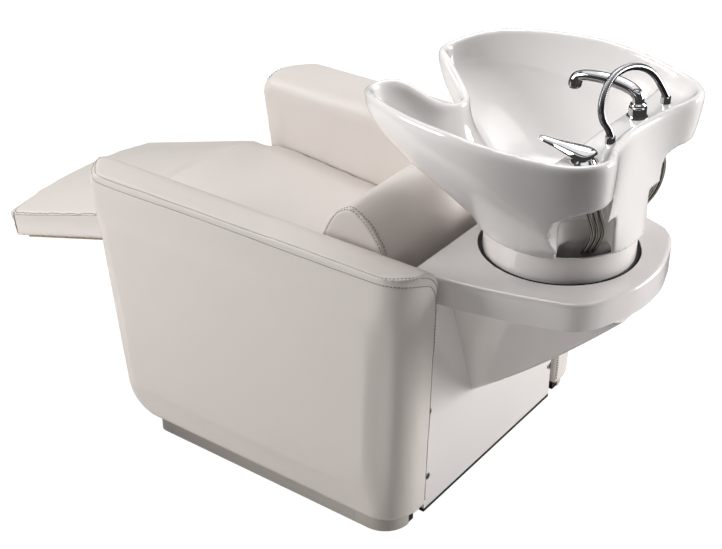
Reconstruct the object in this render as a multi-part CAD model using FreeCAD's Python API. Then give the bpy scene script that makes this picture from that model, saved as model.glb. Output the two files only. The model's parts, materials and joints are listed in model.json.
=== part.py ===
import FreeCAD, Part
import math
import os

# Hair washing bed: an upholstered reclining seat with a leg rest and a tilting ceramic basin.
# Millimetres. X runs across the seat, -Y is the feet end, +Y the basin end, the floor is at Z zero.

os.makedirs("parts", exist_ok=True)
V = FreeCAD.Vector
Z_AXIS = V(0, 0, 1)
X_AXIS = V(1, 0, 0)
Y_AXIS = V(0, 1, 0)

# Fits and shared small sizes
soft_gap = 0.4
running_gap = 0.05
slide_gap = 0.3
seat_gap = 0.3
overrun = 4.0
bend_share = 0.45

# Where the origin is put: half way along the whole length
origin_y = -122.1

# Overall layout
overall_width = 750.0
arm_thickness = 110.0
arm_top_z = 608.0
plinth_height = 34.0
base_front_y = -323.0
base_rear_y = 290.0
half_width = overall_width / 2
arm_inner_x = half_width - arm_thickness

# Arm upholstery
arm_front_y = -456.0
arm_rear_y = 352.0
arm_rear_lean_share = 0.03
arm_front_lean_share = 0.122
arm_front_bulge = 73.0
arm_top_drop = 50.0
arm_top_corner_r = 30.0
arm_bottom_corner_r = 78.0
arm_rear_corner_r = 74.0
arm_section_shares = [(0.0, 0.0, 0.0), (0.09, 0.2, 0.0), (0.336, 0.52, 0.0), (0.664, 0.82, 0.07),
                      (0.9, 0.97, 0.42), (1.0, 0.86, 1.0)]

# Arm boards and their bolts
arm_board_thickness = 18.0
arm_board_margin = 62.0
arm_board_top_z = 372.0
arm_bolt_r = 5.0
arm_bolt_head_r = 9.0
arm_bolt_head = 6.0
arm_bolt_bite_share = 2 / 3

# Plinth trim under the arms
plinth_inset = 8.0
plinth_trim = 2.0
plinth_joint_front_y = -280.0
plinth_joint_rear_y = 225.0
plinth_front_r = 22.0
plinth_rear_r = 60.0
plinth_block_width = 82.0
plinth_joint_gap = 0.8

# Steel frame of square tube
tube = 30.0
tube_wall = 2.0
rail_x = arm_inner_x - tube / 2
upright_front_y = -345.0
upright_rear_y = 250.0
seat_rail_z = 288.0
seat_rail_front_y = -440.0
top_cross_z = 470.0
cantilever_x = 72.0
cantilever_end_y = 560.0
foot_pad_r = 22.0
foot_pad = 8.0
foot_stem_r = 6.0

# Seat
seat_board = 12.0
seat_side_gap = 3.0
seat_half = arm_inner_x - seat_side_gap
seat_notch_share = 2 / 3
seat_rear_y = -92.0
seat_front_y = -472.0
seat_edge_z = 426.0
seat_slope_share = 0.085
seat_crown = 22.0
seat_draw = 7.0

# Leg rest, drawn along its own slope from the hinge
hinge_y = -505.0
hinge_z = 352.0
leg_slope = 16.3
leg_length = 393.0
leg_side_step = 17.0
leg_half = seat_half - leg_side_step
leg_thickness = 62.0
leg_lift = 14.0
leg_crown = 22.0
leg_draw = 5.0
leg_end_r = 9.0
leg_board = 11.0
leg_board_inset = 22.0
leg_raise = 12.0
leg_lower = 40.0
nose_gap = 4.0

# Leg rest hinge and actuator
hinge_shaft_r = 9.0
hinge_shaft_over = 2.0
hinge_shaft_half = rail_x - tube / 2 + hinge_shaft_over
bearing_r = 12.0
bearing_plate = 10.0
bearing_neck_share = 0.8
bracket_x = 120.0
bracket_plate = 8.0
bracket_length = 260.0
bracket_depth = 16.0
lever_reach = 60.0
lever_half_width = 14.0
lever_pin_r = 5.0
lever_slot_gap = 1.8
rod_r = 8.0
rod_back_y = -330.0
actuator_r = 21.0
actuator_front_y = -425.0
actuator_back_y = -150.0
actuator_motor_r = 30.0
actuator_motor = 90.0
fork_plate = 6.0

# Front panel under the leg rest
front_panel_y = -372.0
front_panel = 12.0
front_panel_top_z = 270.0

# Backrest with its rolled head
back_side_gap = 5.0
back_half = arm_inner_x - back_side_gap
back_front_y = -88.0
back_low_z = 318.0
back_bend_z = 396.0
back_bend_r = 40.0
roll_front_y = 66.0
roll_rear_y = 222.0
roll_z = 560.0
roll_top_y = 137.0
roll_top_z = 656.0
roll_front_share = (0.34, 0.66)
roll_rear_share = (0.56, 0.72)
back_board = 13.0

# Rear panel and belly moulding
panel_y = 318.0
panel = 6.0
panel_side_gap = 7.0
panel_half = arm_inner_x - panel_side_gap
panel_low_z = 8.0
panel_top_z = 506.0
panel_window_gap = 3.0
screw_r = 3.0
screw_head_r = 7.0
screw_head = 3.0
screw_inset = 26.0
belly_wall = 4.0
belly_top_step = 62.0
belly_open_share = 0.02
belly_low_z = 206.0
belly_low_half = 84.0
belly_corner_r = 26.0
belly_shares = [(0.0, 1.0, 1.0, 0.0), (0.34, 0.99, 0.96, 0.3), (0.68, 0.86, 0.86, 0.64),
                (0.92, 0.62, 0.66, 0.9)]

# Shelf round the collar
shelf_top_z = 565.0
shelf_rim = 57.0
shelf_front_y = 277.0
shelf_rear_y = 659.0
shelf_side_gap = 13.0
shelf_half = arm_inner_x - shelf_side_gap
belly_top_half = shelf_half - belly_top_step
shelf_corner_r = 20.0
shelf_edge_r = 7.5
shelf_wall = 5.0
shelf_side_shares = [(0.984, 0.2, 1.0, 0.0), (0.945, 0.37, 0.99, 0.1), (0.881, 0.55, 0.98, 0.2),
                     (0.806, 0.715, 0.96, 0.3), (0.735, 0.83, 0.85, 0.55), (0.6, 0.905, 0.45, 0.9),
                     (0.4, 0.955, 0.2, 0.98), (0.2, 0.99, 0.08, 1.0)]
shelf_hole_r = 169.0

# Basin support
collar_y = 455.0
collar_r = 150.0
collar_wall = 5.0
collar_top_z = 616.0
seal_height = 10.0
seal_top_z = 548.0
plate_thickness = 6.0
plate_half = 152.0
plate_front_y = 266.0
plate_hole_depth = 96.0
tilt_z = 600.0
tilt_back = 4.0
tilt_neck = 8.0
ear_x = 62.0
ear_plate = 8.0
ear_half = 34.0
ear_top_r = 15.0
ear_foot = 26.0
tilt_shaft_r = 8.0
cradle_plate = 6.0
cradle_half_y = 46.0
cradle_nut_r = 14.0
cradle_nut = 6.0

# Basin bowl: rim points are shares of half width, length and rim rise, front of the neck to the back
bowl_half = 280.0
bowl_front_y = 94.0
bowl_rear_y = 632.0
bowl_low_z = 808.0
bowl_high_z = 883.0
neck_shares = (0.242, 0.0)
rim_shares = [(0.111, 0.215, 0.013), (0.19, 0.158, 0.2), (0.245, 0.095, 0.53), (0.32, 0.035, 0.69),
              (0.436, 0.0, 0.63), (0.59, 0.03, 0.74), (0.782, 0.138, 0.933), (0.921, 0.299, 0.987),
              (0.993, 0.494, 1.0), (0.996, 0.643, 0.933), (0.921, 0.829, 0.813), (0.807, 0.95, 0.76),
              (0.657, 1.0, 0.773), (0.475, 0.97, 0.667), (0.25, 0.931, 0.573)]
rear_shares = (0.914, 0.533)
lip_half = 9.0
lip_round = 8.0
lip_step_share = 0.75
lip_lift_share = 0.2
skirt_r = 163.0
skirt_z = 620.0
skirt_gap = 5.0
outer_powers = (1.32, 0.83)
inner_powers = (1.0, 0.6)
power_shares = (0.3, 0.9)
outer_row_shares = [0.0, 0.08, 0.2, 0.34, 0.5, 0.66, 0.82, 0.95, 1.0]
inner_row_shares = [1.0, 0.95, 0.88, 0.8, 0.71, 0.63, 0.53, 0.4, 0.26, 0.13, 0.04, 0.0]
ledge_shares = [(0.0, 1.0, 0.0), (0.06, 0.6, 0.0), (0.2, 0.1, 0.0), (0.55, 0.0, 0.0), (0.9, 0.0, 0.15),
                (1.04, 0.0, 1.7)]
floor_row_shares = [0.72, 0.42, 0.0]
floor_z = 666.0
floor_y = 392.0
floor_half_x = 136.0
floor_half_y = 108.0
ceiling_z = 640.0
drain_y = 395.0
drain_z = 660.0
drain_r = 27.0
drain_hole_r = 21.0
deck_z = 838.0
deck_front_y = 524.0
deck_fade = 34.0
well_x = 134.0
well_y = 570.0
well_radii = (30.0, 25.0)
well_top_z = 822.0
column_count = 36
skin_degree = 3
alcove_angle = 50.7
alcove_reach = 214.0
alcove_z = 745.0
alcove_crown = 31.0
alcove_radii = (67.0, 60.0)
alcove_foot_angle = 44.5
alcove_foot_reach = 176.0
alcove_foot_radii = (61.0, 52.0)
alcove_foot_top_z = 700.0

# Waste
waste_flange_r = 26.0
waste_flange = 2.5
waste_wall = 2.0
waste_slot_r = 3.0
waste_slot_ring_r = 12.0
waste_slots = 6
trap_r = 30.0
trap_top_z = 562.0
trap_low_z = 452.0
trap_wall = 3.0
trap_nut_r = 27.0
trap_nut = 18.0

# Mixer
mixer_x = 158.0
mixer_y = 574.0
mixer_r = 22.0
mixer_top_share = 0.7
mixer_height = 9.0
mixer_flange = 3.0
mixer_shank_r = 15.0
mixer_shank = 34.0
stem_r = 12.0
stem_height = 14.5
stem_recess = 8.0
stem_shoulder = 9.2
neck_half = 6.0
neck_depth = 2.4
mixer_swing = 50.0
lever_length = 92.0
lever_fat_r = 21.0
lever_height = 19.0
lever_tilt = 3.0
lever_pin = 3.0
lever_pin_half = 15.0
lever_floor = 1.5
lever_lift_stops = (0.0, 6.0, 12.0, 18.0)
lever_shares = [(-0.21, 0.34, 0.4, 0.45), (-0.13, 0.8, 0.8, 0.16), (-0.02, 1.0, 1.0, 0.0),
                (0.16, 0.96, 0.95, 0.0), (0.42, 0.72, 0.72, 0.1), (0.7, 0.46, 0.48, 0.22),
                (0.93, 0.34, 0.32, 0.34), (1.0, 0.2, 0.18, 0.42)]

# Hand shower
shower_x = -72.0
shower_y = 558.0
socket_r = 17.0
socket_height = 20.0
socket_flange = 3.0
shank_r = 9.0
shank_depth = 30.0
knuckle_r = 12.5
knuckle_rise = 10.0
shower_tube_r = 9.0
handle_shares = [(0.0, 0.0), (0.42, 0.55), (0.8, 0.9), (1.0, 0.4)]
shower_reach = 134.0
shower_rise = 21.0
head_r = 13.0
head_length = 20.0
head_drop_share = 0.6
face_r = 10.5
face = 3.0

# Metal hose loop: the route is given in the frame of its two ferrules
loop_hose_r = 6.5
loop_route = [V(62, 572, 852), V(80, 575, 876), V(118, 580, 905), V(136, 583, 946), V(110, 584, 984),
              V(50, 584, 984), V(-15, 583, 963), V(-75, 580, 930), V(-130, 576, 882), V(-160, 573, 852)]
ferrule_r = 9.5
ferrule = 14.0

# Braided supply hoses, one side; the other side mirrors them
supply_r = 4.6
supply_pitch = 11.0
supply_count = 3
supply_angle = 35.0
supply_route = [V(132, 568, well_top_z), V(132, 568, 792), V(143, 592, 738), V(120, 595, 690),
                V(98, 576, 650), V(54, 538, 592)]


# Small helpers

def box(x0, x1, y0, y1, z0, z1):
    """A block between two corners."""
    return Part.makeBox(x1 - x0, y1 - y0, z1 - z0, V(x0, y0, z0))


def mirrored(shape):
    """The same shape on the other side of the seat."""
    return shape.mirror(V(0, 0, 0), X_AXIS)


def rod(radius, start, end):
    """A round bar from one point to another."""
    return Part.makeCylinder(radius, (end - start).Length, start, end - start)


def disc(radius, height, base, axis=Z_AXIS):
    """A round plate on a base point."""
    return Part.makeCylinder(radius, height, base, axis)


def line(a, b):
    """A straight edge."""
    return Part.makeLine(a, b)


def arc(a, b, c):
    """An arc edge through three points."""
    return Part.Arc(a, b, c).toShape()


def filled(edges):
    """A face bounded by edges given in order."""
    return Part.Face(Part.Wire(edges))


def corner(before, point, after, radius):
    """The two tangent points and the middle of an arc that rounds a corner."""
    back = (before - point).normalize()
    ahead = (after - point).normalize()
    half = back.getAngle(ahead) / 2
    reach = radius / math.tan(half)
    centre = point + (back + ahead).normalize() * (radius / math.sin(half))
    middle = centre + (point - centre).normalize() * radius
    return point + back * reach, middle, point + ahead * reach


def rounded(points, radii):
    """A closed wire through points, each corner rounded by its radius (zero leaves it sharp)."""
    count = len(points)
    stops = []
    for i in range(count):
        if radii[i] > 0:
            stops.append(corner(points[i - 1], points[i], points[(i + 1) % count], radii[i]))
        else:
            stops.append((points[i], None, points[i]))
    edges = []
    for i in range(count):
        first, middle, last = stops[i]
        if middle is not None:
            edges.append(arc(first, middle, last))
        edges.append(line(last, stops[(i + 1) % count][0]))
    return Part.Wire(edges)


def square_tube(x0, x1, y0, y1, z0, z1, along):
    """A hollow square tube along one axis, open at both ends."""
    cuts = {"x": (0, tube_wall, tube_wall), "y": (tube_wall, 0, tube_wall), "z": (tube_wall, tube_wall, 0)}
    dx, dy, dz = cuts[along]
    return box(x0, x1, y0, y1, z0, z1).cut(box(x0 + dx, x1 - dx, y0 + dy, y1 - dy, z0 + dz, z1 - dz))


def smooth_path(points):
    """Straight runs joined by tangent arcs, each arc as large as its two runs allow."""
    edges = []
    start = points[0]
    radii = []
    for i in range(1, len(points) - 1):
        before = points[i] - points[i - 1]
        after = points[i + 1] - points[i]
        turn = before.getAngle(after)
        radius = bend_share * min(before.Length, after.Length) / math.tan(turn / 2)
        first, middle, last = corner(points[i - 1], points[i], points[i + 1], radius)
        edges.append(line(start, first))
        edges.append(arc(first, middle, last))
        radii.append(round(radius))
        start = last
    edges.append(line(start, points[-1]))
    return Part.Wire(edges), radii


def hose(points, radius, name):
    """A round hose along a route, with its bend radii and volume printed."""
    path, radii = smooth_path(points)
    ring = Part.Wire(Part.makeCircle(radius, points[0], points[1] - points[0]))
    solid = path.makePipeShell([ring], True, False)
    expected = math.pi * radius ** 2 * path.Length
    share = round(solid.Volume / expected, 3)
    print(name, "length", round(path.Length), "radii", radii, "volume share", share)
    return solid


# Arms, plinth and front panel

def arm_section(depth_share, bulge_share, drop_share):
    """The arm's side outline at one depth, from its outer face to its inner face."""
    x = half_width - depth_share * arm_thickness
    front = arm_front_y - bulge_share * arm_front_bulge
    top = arm_top_z - drop_share * arm_top_drop
    rise = arm_top_z - plinth_height
    low_front = front + rise * arm_front_lean_share
    high_front = front + (arm_top_z - top) * arm_front_lean_share
    rear = arm_rear_y + overrun
    points = [V(x, high_front, top), V(x, low_front, plinth_height), V(x, rear, plinth_height),
              V(x, rear, top)]
    return rounded(points, [arm_top_corner_r, arm_bottom_corner_r, 0, 0])


def arm_rear_outline(z):
    """The plan of the arm at one height: outer rear corner rounded, rear face square to the seat."""
    front = arm_front_y - 2 * arm_front_bulge
    rear = arm_rear_y - (arm_top_z - z) * arm_rear_lean_share
    points = [V(arm_inner_x - overrun, front, z), V(half_width, front, z), V(half_width, rear, z),
              V(arm_inner_x - overrun, rear, z)]
    return rounded(points, [0, 0, arm_rear_corner_r, 0])


def arm_pad():
    """Right arm upholstery: a bulged front, a soft inner top edge and a rounded rear corner."""
    sections = [arm_section(*shares) for shares in arm_section_shares]
    body = Part.makeLoft(sections, True, False)
    plan = Part.makeLoft([arm_rear_outline(0), arm_rear_outline(arm_top_z + overrun)], True, True)
    return body.common(plan).cut(arm_board_block(seat_gap))


def arm_board_block(gap):
    """The board let into the arm's inner face, grown by a gap all round."""
    return box(arm_inner_x - overrun if gap else arm_inner_x, arm_inner_x + arm_board_thickness + gap,
               upright_front_y - tube - gap, upright_rear_y + tube + gap,
               plinth_height + arm_board_margin - gap, arm_board_top_z + gap)


def arm_bolts():
    """Bolts through the frame uprights into the arm boards, heads inside the frame."""
    bolts = []
    low = plinth_height + arm_board_margin + 2 * tube
    high = arm_board_top_z - tube
    for y in (upright_front_y, upright_rear_y):
        for z in (low, (low + high) / 2 - tube):
            head_x = rail_x - tube / 2 - arm_bolt_head
            head = disc(arm_bolt_head_r, arm_bolt_head, V(head_x, y, z), X_AXIS)
            shank_end = arm_inner_x + arm_board_thickness * arm_bolt_bite_share
            shank = rod(arm_bolt_r, V(head_x, y, z), V(shank_end, y, z))
            bolts.append(head.fuse(shank))
    return bolts


def bolted(shape):
    """Cut the bolt holes that pass through a piece of the right side."""
    low = plinth_height + arm_board_margin + 2 * tube
    high = arm_board_top_z - tube
    for y in (upright_front_y, upright_rear_y):
        for z in (low, (low + high) / 2 - tube):
            start = V(rail_x - tube, y, z)
            end = V(arm_inner_x + arm_board_thickness * arm_bolt_bite_share + seat_gap, y, z)
            shape = shape.cut(rod(arm_bolt_r + seat_gap / 2, start, end))
    return shape


def plinth_outline(inset):
    """Plan of the raised plinth under the right arm, rounded at its two outer corners."""
    outer = half_width - plinth_inset - inset
    inner = half_width - plinth_inset - plinth_block_width + inset
    points = [V(inner, base_front_y + inset, 0), V(outer, base_front_y + inset, 0),
              V(outer, base_rear_y - inset + plinth_rear_r / 2, 0),
              V(inner, base_rear_y - inset + plinth_rear_r / 2, 0)]
    return rounded(points, [0, plinth_front_r - inset, plinth_rear_r - inset, 0])


def plinth_band():
    """The metal band round the right plinth block, before it is cut into its pieces."""
    outer = Part.Face(plinth_outline(0)).extrude(V(0, 0, plinth_height))
    inner = Part.Face(plinth_outline(plinth_trim)).extrude(V(0, 0, plinth_height))
    return outer.cut(inner)


def plinth_pieces():
    """Block, side strip, front corner and rear corner of the right plinth."""
    block = Part.Face(plinth_outline(plinth_trim + seat_gap)).extrude(V(0, 0, plinth_height))
    band = plinth_band()
    far = overall_width * 2
    gap = plinth_joint_gap / 2
    inner = half_width - plinth_inset - plinth_block_width + plinth_front_r
    front_cut = box(inner, far, -far, plinth_joint_front_y - gap, 0, plinth_height)
    rear_cut = box(inner, far, plinth_joint_rear_y + gap, far, 0, plinth_height)
    strip_cut = box(half_width - 2 * plinth_inset, far, plinth_joint_front_y + gap,
                    plinth_joint_rear_y - gap, 0, plinth_height)
    return block, band.common(strip_cut), band.common(front_cut), band.common(rear_cut)


def front_panel_board():
    """Board that closes the base under the leg rest."""
    half = arm_inner_x - soft_gap
    return box(-half, half, front_panel_y, front_panel_y + front_panel, plinth_height, front_panel_top_z)


# Steel frame

def side_rail():
    """Right base rail on its levelling feet."""
    return square_tube(rail_x - tube / 2, rail_x + tube / 2, upright_front_y - tube / 2,
                       upright_rear_y + tube / 2, plinth_height, plinth_height + tube, "y")


def upright(y, top):
    """Right upright between the base rail and the rail above it."""
    return square_tube(rail_x - tube / 2, rail_x + tube / 2, y - tube / 2, y + tube / 2,
                       plinth_height + tube, top, "z")


def seat_rail():
    """Right seat rail, from the leg rest hinge to the rear upright."""
    return square_tube(rail_x - tube / 2, rail_x + tube / 2, seat_rail_front_y, upright_rear_y - tube / 2,
                       seat_rail_z, seat_rail_z + tube, "y")


def cross_rail(y, z):
    """Cross tube between the side members."""
    half = rail_x - tube / 2
    return square_tube(-half, half, y - tube / 2, y + tube / 2, z, z + tube, "x")


def top_cross():
    """Cross tube over the rear uprights that carries the basin."""
    half = rail_x + tube / 2
    return square_tube(-half, half, upright_rear_y - tube / 2, upright_rear_y + tube / 2,
                       top_cross_z, top_cross_z + tube, "x")


def cantilever():
    """Right arm that carries the basin plate behind the frame."""
    return square_tube(cantilever_x - tube / 2, cantilever_x + tube / 2, upright_rear_y + tube / 2,
                       cantilever_end_y, top_cross_z, top_cross_z + tube, "y")


def levelling_feet():
    """Four screw feet under the base rails."""
    feet = []
    for x in (-rail_x, rail_x):
        for y in (upright_front_y + tube, upright_rear_y - tube):
            pad = disc(foot_pad_r, foot_pad, V(x, y, 0))
            stem = disc(foot_stem_r, plinth_height + tube / 2, V(x, y, 0))
            feet.append(pad.fuse(stem))
    return feet


def footed(rail, side):
    """Cut the foot stems' holes in a base rail."""
    for y in (upright_front_y + tube, upright_rear_y - tube):
        height = plinth_height + tube / 2 + seat_gap
        rail = rail.cut(disc(foot_stem_r + seat_gap / 2, height, V(side * rail_x, y, 0)))
    return rail


# Seat and leg rest

def crowned_profile(half, low, edge, crown, draw):
    """Cross-section of a cushion at Y zero: flat base, drawn-in sides and a crowned top."""
    middle = (low + edge) / 2
    base = line(V(-half, 0, low), V(half, 0, low))
    right = arc(V(half, 0, low), V(half - draw, 0, middle), V(half, 0, edge))
    top = arc(V(half, 0, edge), V(0, 0, edge + crown), V(-half, 0, edge))
    left = arc(V(-half, 0, edge), V(-half + draw, 0, middle), V(-half, 0, low))
    return filled([base, right, top, left])


def seat_cushion():
    """Seat cushion with a crowned top that falls to the rear and a hollow front round the hinge."""
    low = seat_rail_z + tube + seat_board
    length = seat_rear_y - seat_front_y
    profile = crowned_profile(seat_half, low - overrun * 2, seat_edge_z, seat_crown, seat_draw)
    start = seat_front_y - overrun * 10
    reach = length + overrun * 20
    profile.translate(V(0, start, (seat_front_y - start) * seat_slope_share))
    body = profile.extrude(V(0, reach, -reach * seat_slope_share))
    block = box(-half_width, half_width, seat_front_y - overrun, seat_rear_y, low,
                seat_edge_z + 2 * seat_crown)
    hollow = rod(nose_radius() + nose_gap, V(-half_width, hinge_y, hinge_z), V(half_width, hinge_y, hinge_z))
    front = box(-half_width, half_width, hinge_y - hinge_z, hinge_y + nose_radius() * seat_notch_share,
                low, hinge_z)
    return body.common(block).cut(hollow).cut(front)


def nose_radius():
    """Radius of the leg rest's rear end round its hinge."""
    return leg_lift + leg_thickness


def seat_board_plate():
    """Plywood under the seat cushion, stopping short of the hinge."""
    top = seat_rail_z + tube + seat_board
    return box(-seat_half + seat_draw, seat_half - seat_draw, seat_rail_front_y + bearing_plate,
               seat_rear_y, seat_rail_z + tube, top)


def sloped(shape):
    """Turn a leg rest piece from level to its slope at the hinge."""
    shape.translate(V(0, hinge_y, hinge_z))
    shape.rotate(V(0, hinge_y, hinge_z), X_AXIS, leg_slope)
    return shape


def leg_profile():
    """Side outline of the leg rest at X zero, level, hinge at the origin, feet towards -Y."""
    top = nose_radius()
    back = math.sqrt(top ** 2 - leg_lift ** 2)
    bend = V(0, top * math.cos(math.radians(45)), top * math.sin(math.radians(45)))
    crown_top = top + leg_crown
    end_low = V(0, -leg_length, leg_lift)
    end_high = V(0, -leg_length + leg_draw, crown_top)
    first = corner(V(0, back, leg_lift), end_low, end_high, leg_end_r)
    second = corner(end_low, end_high, V(0, 0, crown_top), leg_end_r)
    low_back = V(0, back, leg_lift)
    fall = V(0, -leg_crown * 2, crown_top)
    crest = V(0, 0, top)
    return filled([line(low_back, first[0]), arc(*first), line(first[2], second[0]), arc(*second),
                   line(second[2], fall), line(fall, crest), arc(crest, bend, low_back)])


def leg_cushion():
    """Leg rest cushion: crowned across, rounded at the end, half round over the hinge."""
    profile = leg_profile()
    profile.translate(V(-half_width, 0, 0))
    side = profile.extrude(V(overall_width, 0, 0))
    cross = crowned_profile(leg_half, leg_lift, nose_radius(), leg_crown, leg_draw)
    cross.translate(V(0, nose_radius() + overrun, 0))
    body = cross.extrude(V(0, -leg_length - 2 * nose_radius(), 0))
    return sloped(side.common(body))


def leg_board_plate():
    """Plywood under the leg rest cushion."""
    top = leg_lift
    half = leg_half - leg_board_inset
    return sloped(box(-half, half, -leg_length + leg_board_inset, -leg_board_inset, top - leg_board, top))


def leg_brackets():
    """Two steel brackets and the actuator lever, welded to the hinge shaft."""
    pieces = []
    low = leg_lift - leg_board
    for x in (-bracket_x, bracket_x):
        points = [V(x, bearing_r, low), V(x, bearing_r, -bearing_r),
                  V(x, -bracket_depth, -bearing_r - bracket_depth / 2),
                  V(x, -bracket_length, low - bracket_depth / 2), V(x, -bracket_length, low)]
        plate = Part.Face(Part.makePolygon(points + [points[0]])).extrude(V(bracket_plate, 0, 0))
        pieces.append(sloped(plate.cut(rod(hinge_shaft_r, V(x, 0, 0), V(x + bracket_plate, 0, 0)))))
    pieces.append(actuator_lever())
    return pieces


def lever_rest_angle():
    """Angle of the lever from straight down at rest, so that its swing is even about the vertical."""
    return (leg_lower - leg_raise) / 2


def actuator_lever():
    """Lever with a slot that the actuator's pin pushes."""
    half = bracket_plate / 2
    low = lever_reach + lever_pin_r * 3
    plate = box(-half, half, -lever_half_width, lever_half_width, -low, 0)
    plate = plate.fuse(disc(lever_half_width, bracket_plate, V(-half, 0, 0), X_AXIS))
    slot_r = lever_pin_r + lever_slot_gap
    slot_low = lever_reach / math.cos(math.radians((leg_lower + leg_raise) / 2))
    slot = box(-half, half, -slot_r, slot_r, -slot_low, -lever_reach)
    slot = slot.fuse(disc(slot_r, bracket_plate, V(-half, 0, -lever_reach), X_AXIS))
    slot = slot.fuse(disc(slot_r, bracket_plate, V(-half, 0, -slot_low), X_AXIS))
    plate = plate.cut(slot).cut(disc(hinge_shaft_r, bracket_plate, V(-half, 0, 0), X_AXIS))
    plate.rotate(V(0, 0, 0), X_AXIS, -lever_rest_angle())
    plate.translate(V(0, hinge_y, hinge_z))
    return plate


def hinge_shaft():
    """Steel shaft of the leg rest."""
    return rod(hinge_shaft_r, V(-hinge_shaft_half, hinge_y, hinge_z), V(hinge_shaft_half, hinge_y, hinge_z))


def hinge_bearings():
    """Two bearing plates on the front ends of the seat rails."""
    plates = []
    for side in (-1, 1):
        outer = side * (rail_x - tube / 2)
        inner = outer - side * bearing_plate
        low_x = min(outer, inner)
        eye = disc(bearing_r, bearing_plate, V(low_x, hinge_y, hinge_z), X_AXIS)
        root_y = seat_rail_front_y + 2 * tube
        rise = bearing_r * bearing_neck_share
        neck = [V(low_x, hinge_y - bearing_r / 2, hinge_z - rise), V(low_x, seat_rail_front_y, seat_rail_z),
                V(low_x, root_y, seat_rail_z), V(low_x, root_y, seat_rail_z + tube),
                V(low_x, seat_rail_front_y - bearing_plate, seat_rail_z + tube),
                V(low_x, hinge_y + bearing_r / 2, hinge_z + rise)]
        arm = Part.Face(Part.makePolygon(neck + [neck[0]])).extrude(V(bearing_plate, 0, 0))
        hole = disc(hinge_shaft_r + running_gap, bearing_plate, V(low_x, hinge_y, hinge_z), X_AXIS)
        plates.append(eye.fuse(arm).cut(hole))
    return plates


def pin_place():
    """Where the actuator's pin sits at rest."""
    z = hinge_z - lever_reach
    return V(0, hinge_y - lever_reach * math.tan(math.radians(lever_rest_angle())), z)


def actuator_rod():
    """Actuator rod with its fork and pin through the lever's slot."""
    pin = pin_place()
    half = bracket_plate / 2 + lever_slot_gap
    outer = half + fork_plate
    back = pin.y + 3 * lever_half_width
    body = box(-outer, outer, pin.y - rod_r, back + rod_r, pin.z - rod_r, pin.z + rod_r)
    gap = box(-half, half, pin.y - rod_r, back, pin.z - rod_r, pin.z + rod_r)
    shaft = rod(rod_r, V(0, back, pin.z), V(0, rod_back_y, pin.z))
    pin_half = outer + lever_slot_gap
    cross = rod(lever_pin_r, V(-pin_half, pin.y, pin.z), V(pin_half, pin.y, pin.z))
    return body.cut(gap).fuse(shaft).fuse(cross).removeSplitter()


def actuator_body():
    """Actuator tube and motor on the seat board, with the bore its rod slides in."""
    z = hinge_z - lever_reach
    tube_body = rod(actuator_r, V(0, actuator_front_y, z), V(0, actuator_back_y, z))
    motor_z = z - actuator_motor_r / 2
    motor_y = actuator_back_y - actuator_motor
    motor = rod(actuator_motor_r, V(0, motor_y, motor_z), V(0, actuator_back_y, motor_z))
    hanger = box(-actuator_r, actuator_r, motor_y, motor_y + actuator_motor / 2, z, seat_rail_z + tube)
    bore_end = rod_back_y + leg_travel() + overrun
    bore = rod(rod_r + running_gap, V(0, actuator_front_y, z), V(0, bore_end, z))
    body = tube_body.fuse(motor).fuse(hanger).cut(bore)
    roof = box(-actuator_motor_r, actuator_motor_r, actuator_front_y, actuator_back_y, seat_rail_z + tube,
               seat_rail_z + tube + actuator_motor)
    return body.cut(roof)


def actuator_ratio():
    """Travel of the rod for each radian of the leg rest."""
    swing = math.radians((leg_lower + leg_raise) / 2)
    return lever_reach * (math.tan(swing) / swing + 1) / 2


def leg_travel():
    """How far the rod goes back when the leg rest is fully lowered."""
    return actuator_ratio() * math.radians(leg_lower)


# Backrest

def backrest_profile(x):
    """Side outline of the backrest with its rolled head."""
    low_front = V(x, back_front_y, back_low_z)
    bend = V(x, back_front_y, back_bend_z)
    roll_front = V(x, roll_front_y, roll_z)
    first, middle, last = corner(low_front, bend, roll_front, back_bend_r)
    rise = roll_top_z - roll_z
    front_mid = V(x, roll_front_y + (roll_top_y - roll_front_y) * roll_front_share[0],
                  roll_z + rise * roll_front_share[1])
    top = V(x, roll_top_y, roll_top_z)
    rear_mid = V(x, roll_top_y + (roll_rear_y - roll_top_y) * roll_rear_share[0],
                 roll_z + rise * roll_rear_share[1])
    roll_rear = V(x, roll_rear_y, roll_z)
    low_rear = V(x, roll_rear_y, back_low_z)
    return filled([line(low_front, first), arc(first, middle, last), line(last, roll_front),
                   arc(roll_front, front_mid, top), arc(top, rear_mid, roll_rear), line(roll_rear, low_rear),
                   line(low_rear, low_front)])


def backrest_cushion():
    """Backrest upholstery between the arms, closed by flat end caps."""
    return backrest_profile(-back_half).extrude(V(2 * back_half, 0, 0))


def backrest_board_plate():
    """Plywood behind the backrest, fixed to the rear uprights."""
    half = rail_x + tube / 2 - seat_gap
    return box(-half, half, roll_rear_y, upright_rear_y - tube / 2, back_low_z, top_cross_z)


# Rear panel, belly and shelf

def rear_panel():
    """Moulded rear panel with a window where the belly passes the basin arms."""
    body = box(-panel_half, panel_half, panel_y, panel_y + panel, panel_low_z, panel_top_z)
    low = top_cross_z - panel_window_gap
    half = cantilever_x + tube / 2 + panel_window_gap
    window = box(-half, half, panel_y, panel_y + panel, low, panel_top_z)
    half = plate_half + panel_window_gap
    window = window.fuse(box(-half, half, panel_y, panel_y + panel, low + tube, panel_top_z))
    for x, z in panel_screw_places():
        body = body.cut(rod(screw_r + seat_gap / 2, V(x, panel_y, z), V(x, panel_y + panel, z)))
    return body.cut(window)


def rear_skirt():
    """Dark strip on the floor that the rear panel stands on."""
    return box(-panel_half, panel_half, panel_y - panel, panel_y + panel, 0, panel_low_z)


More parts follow.
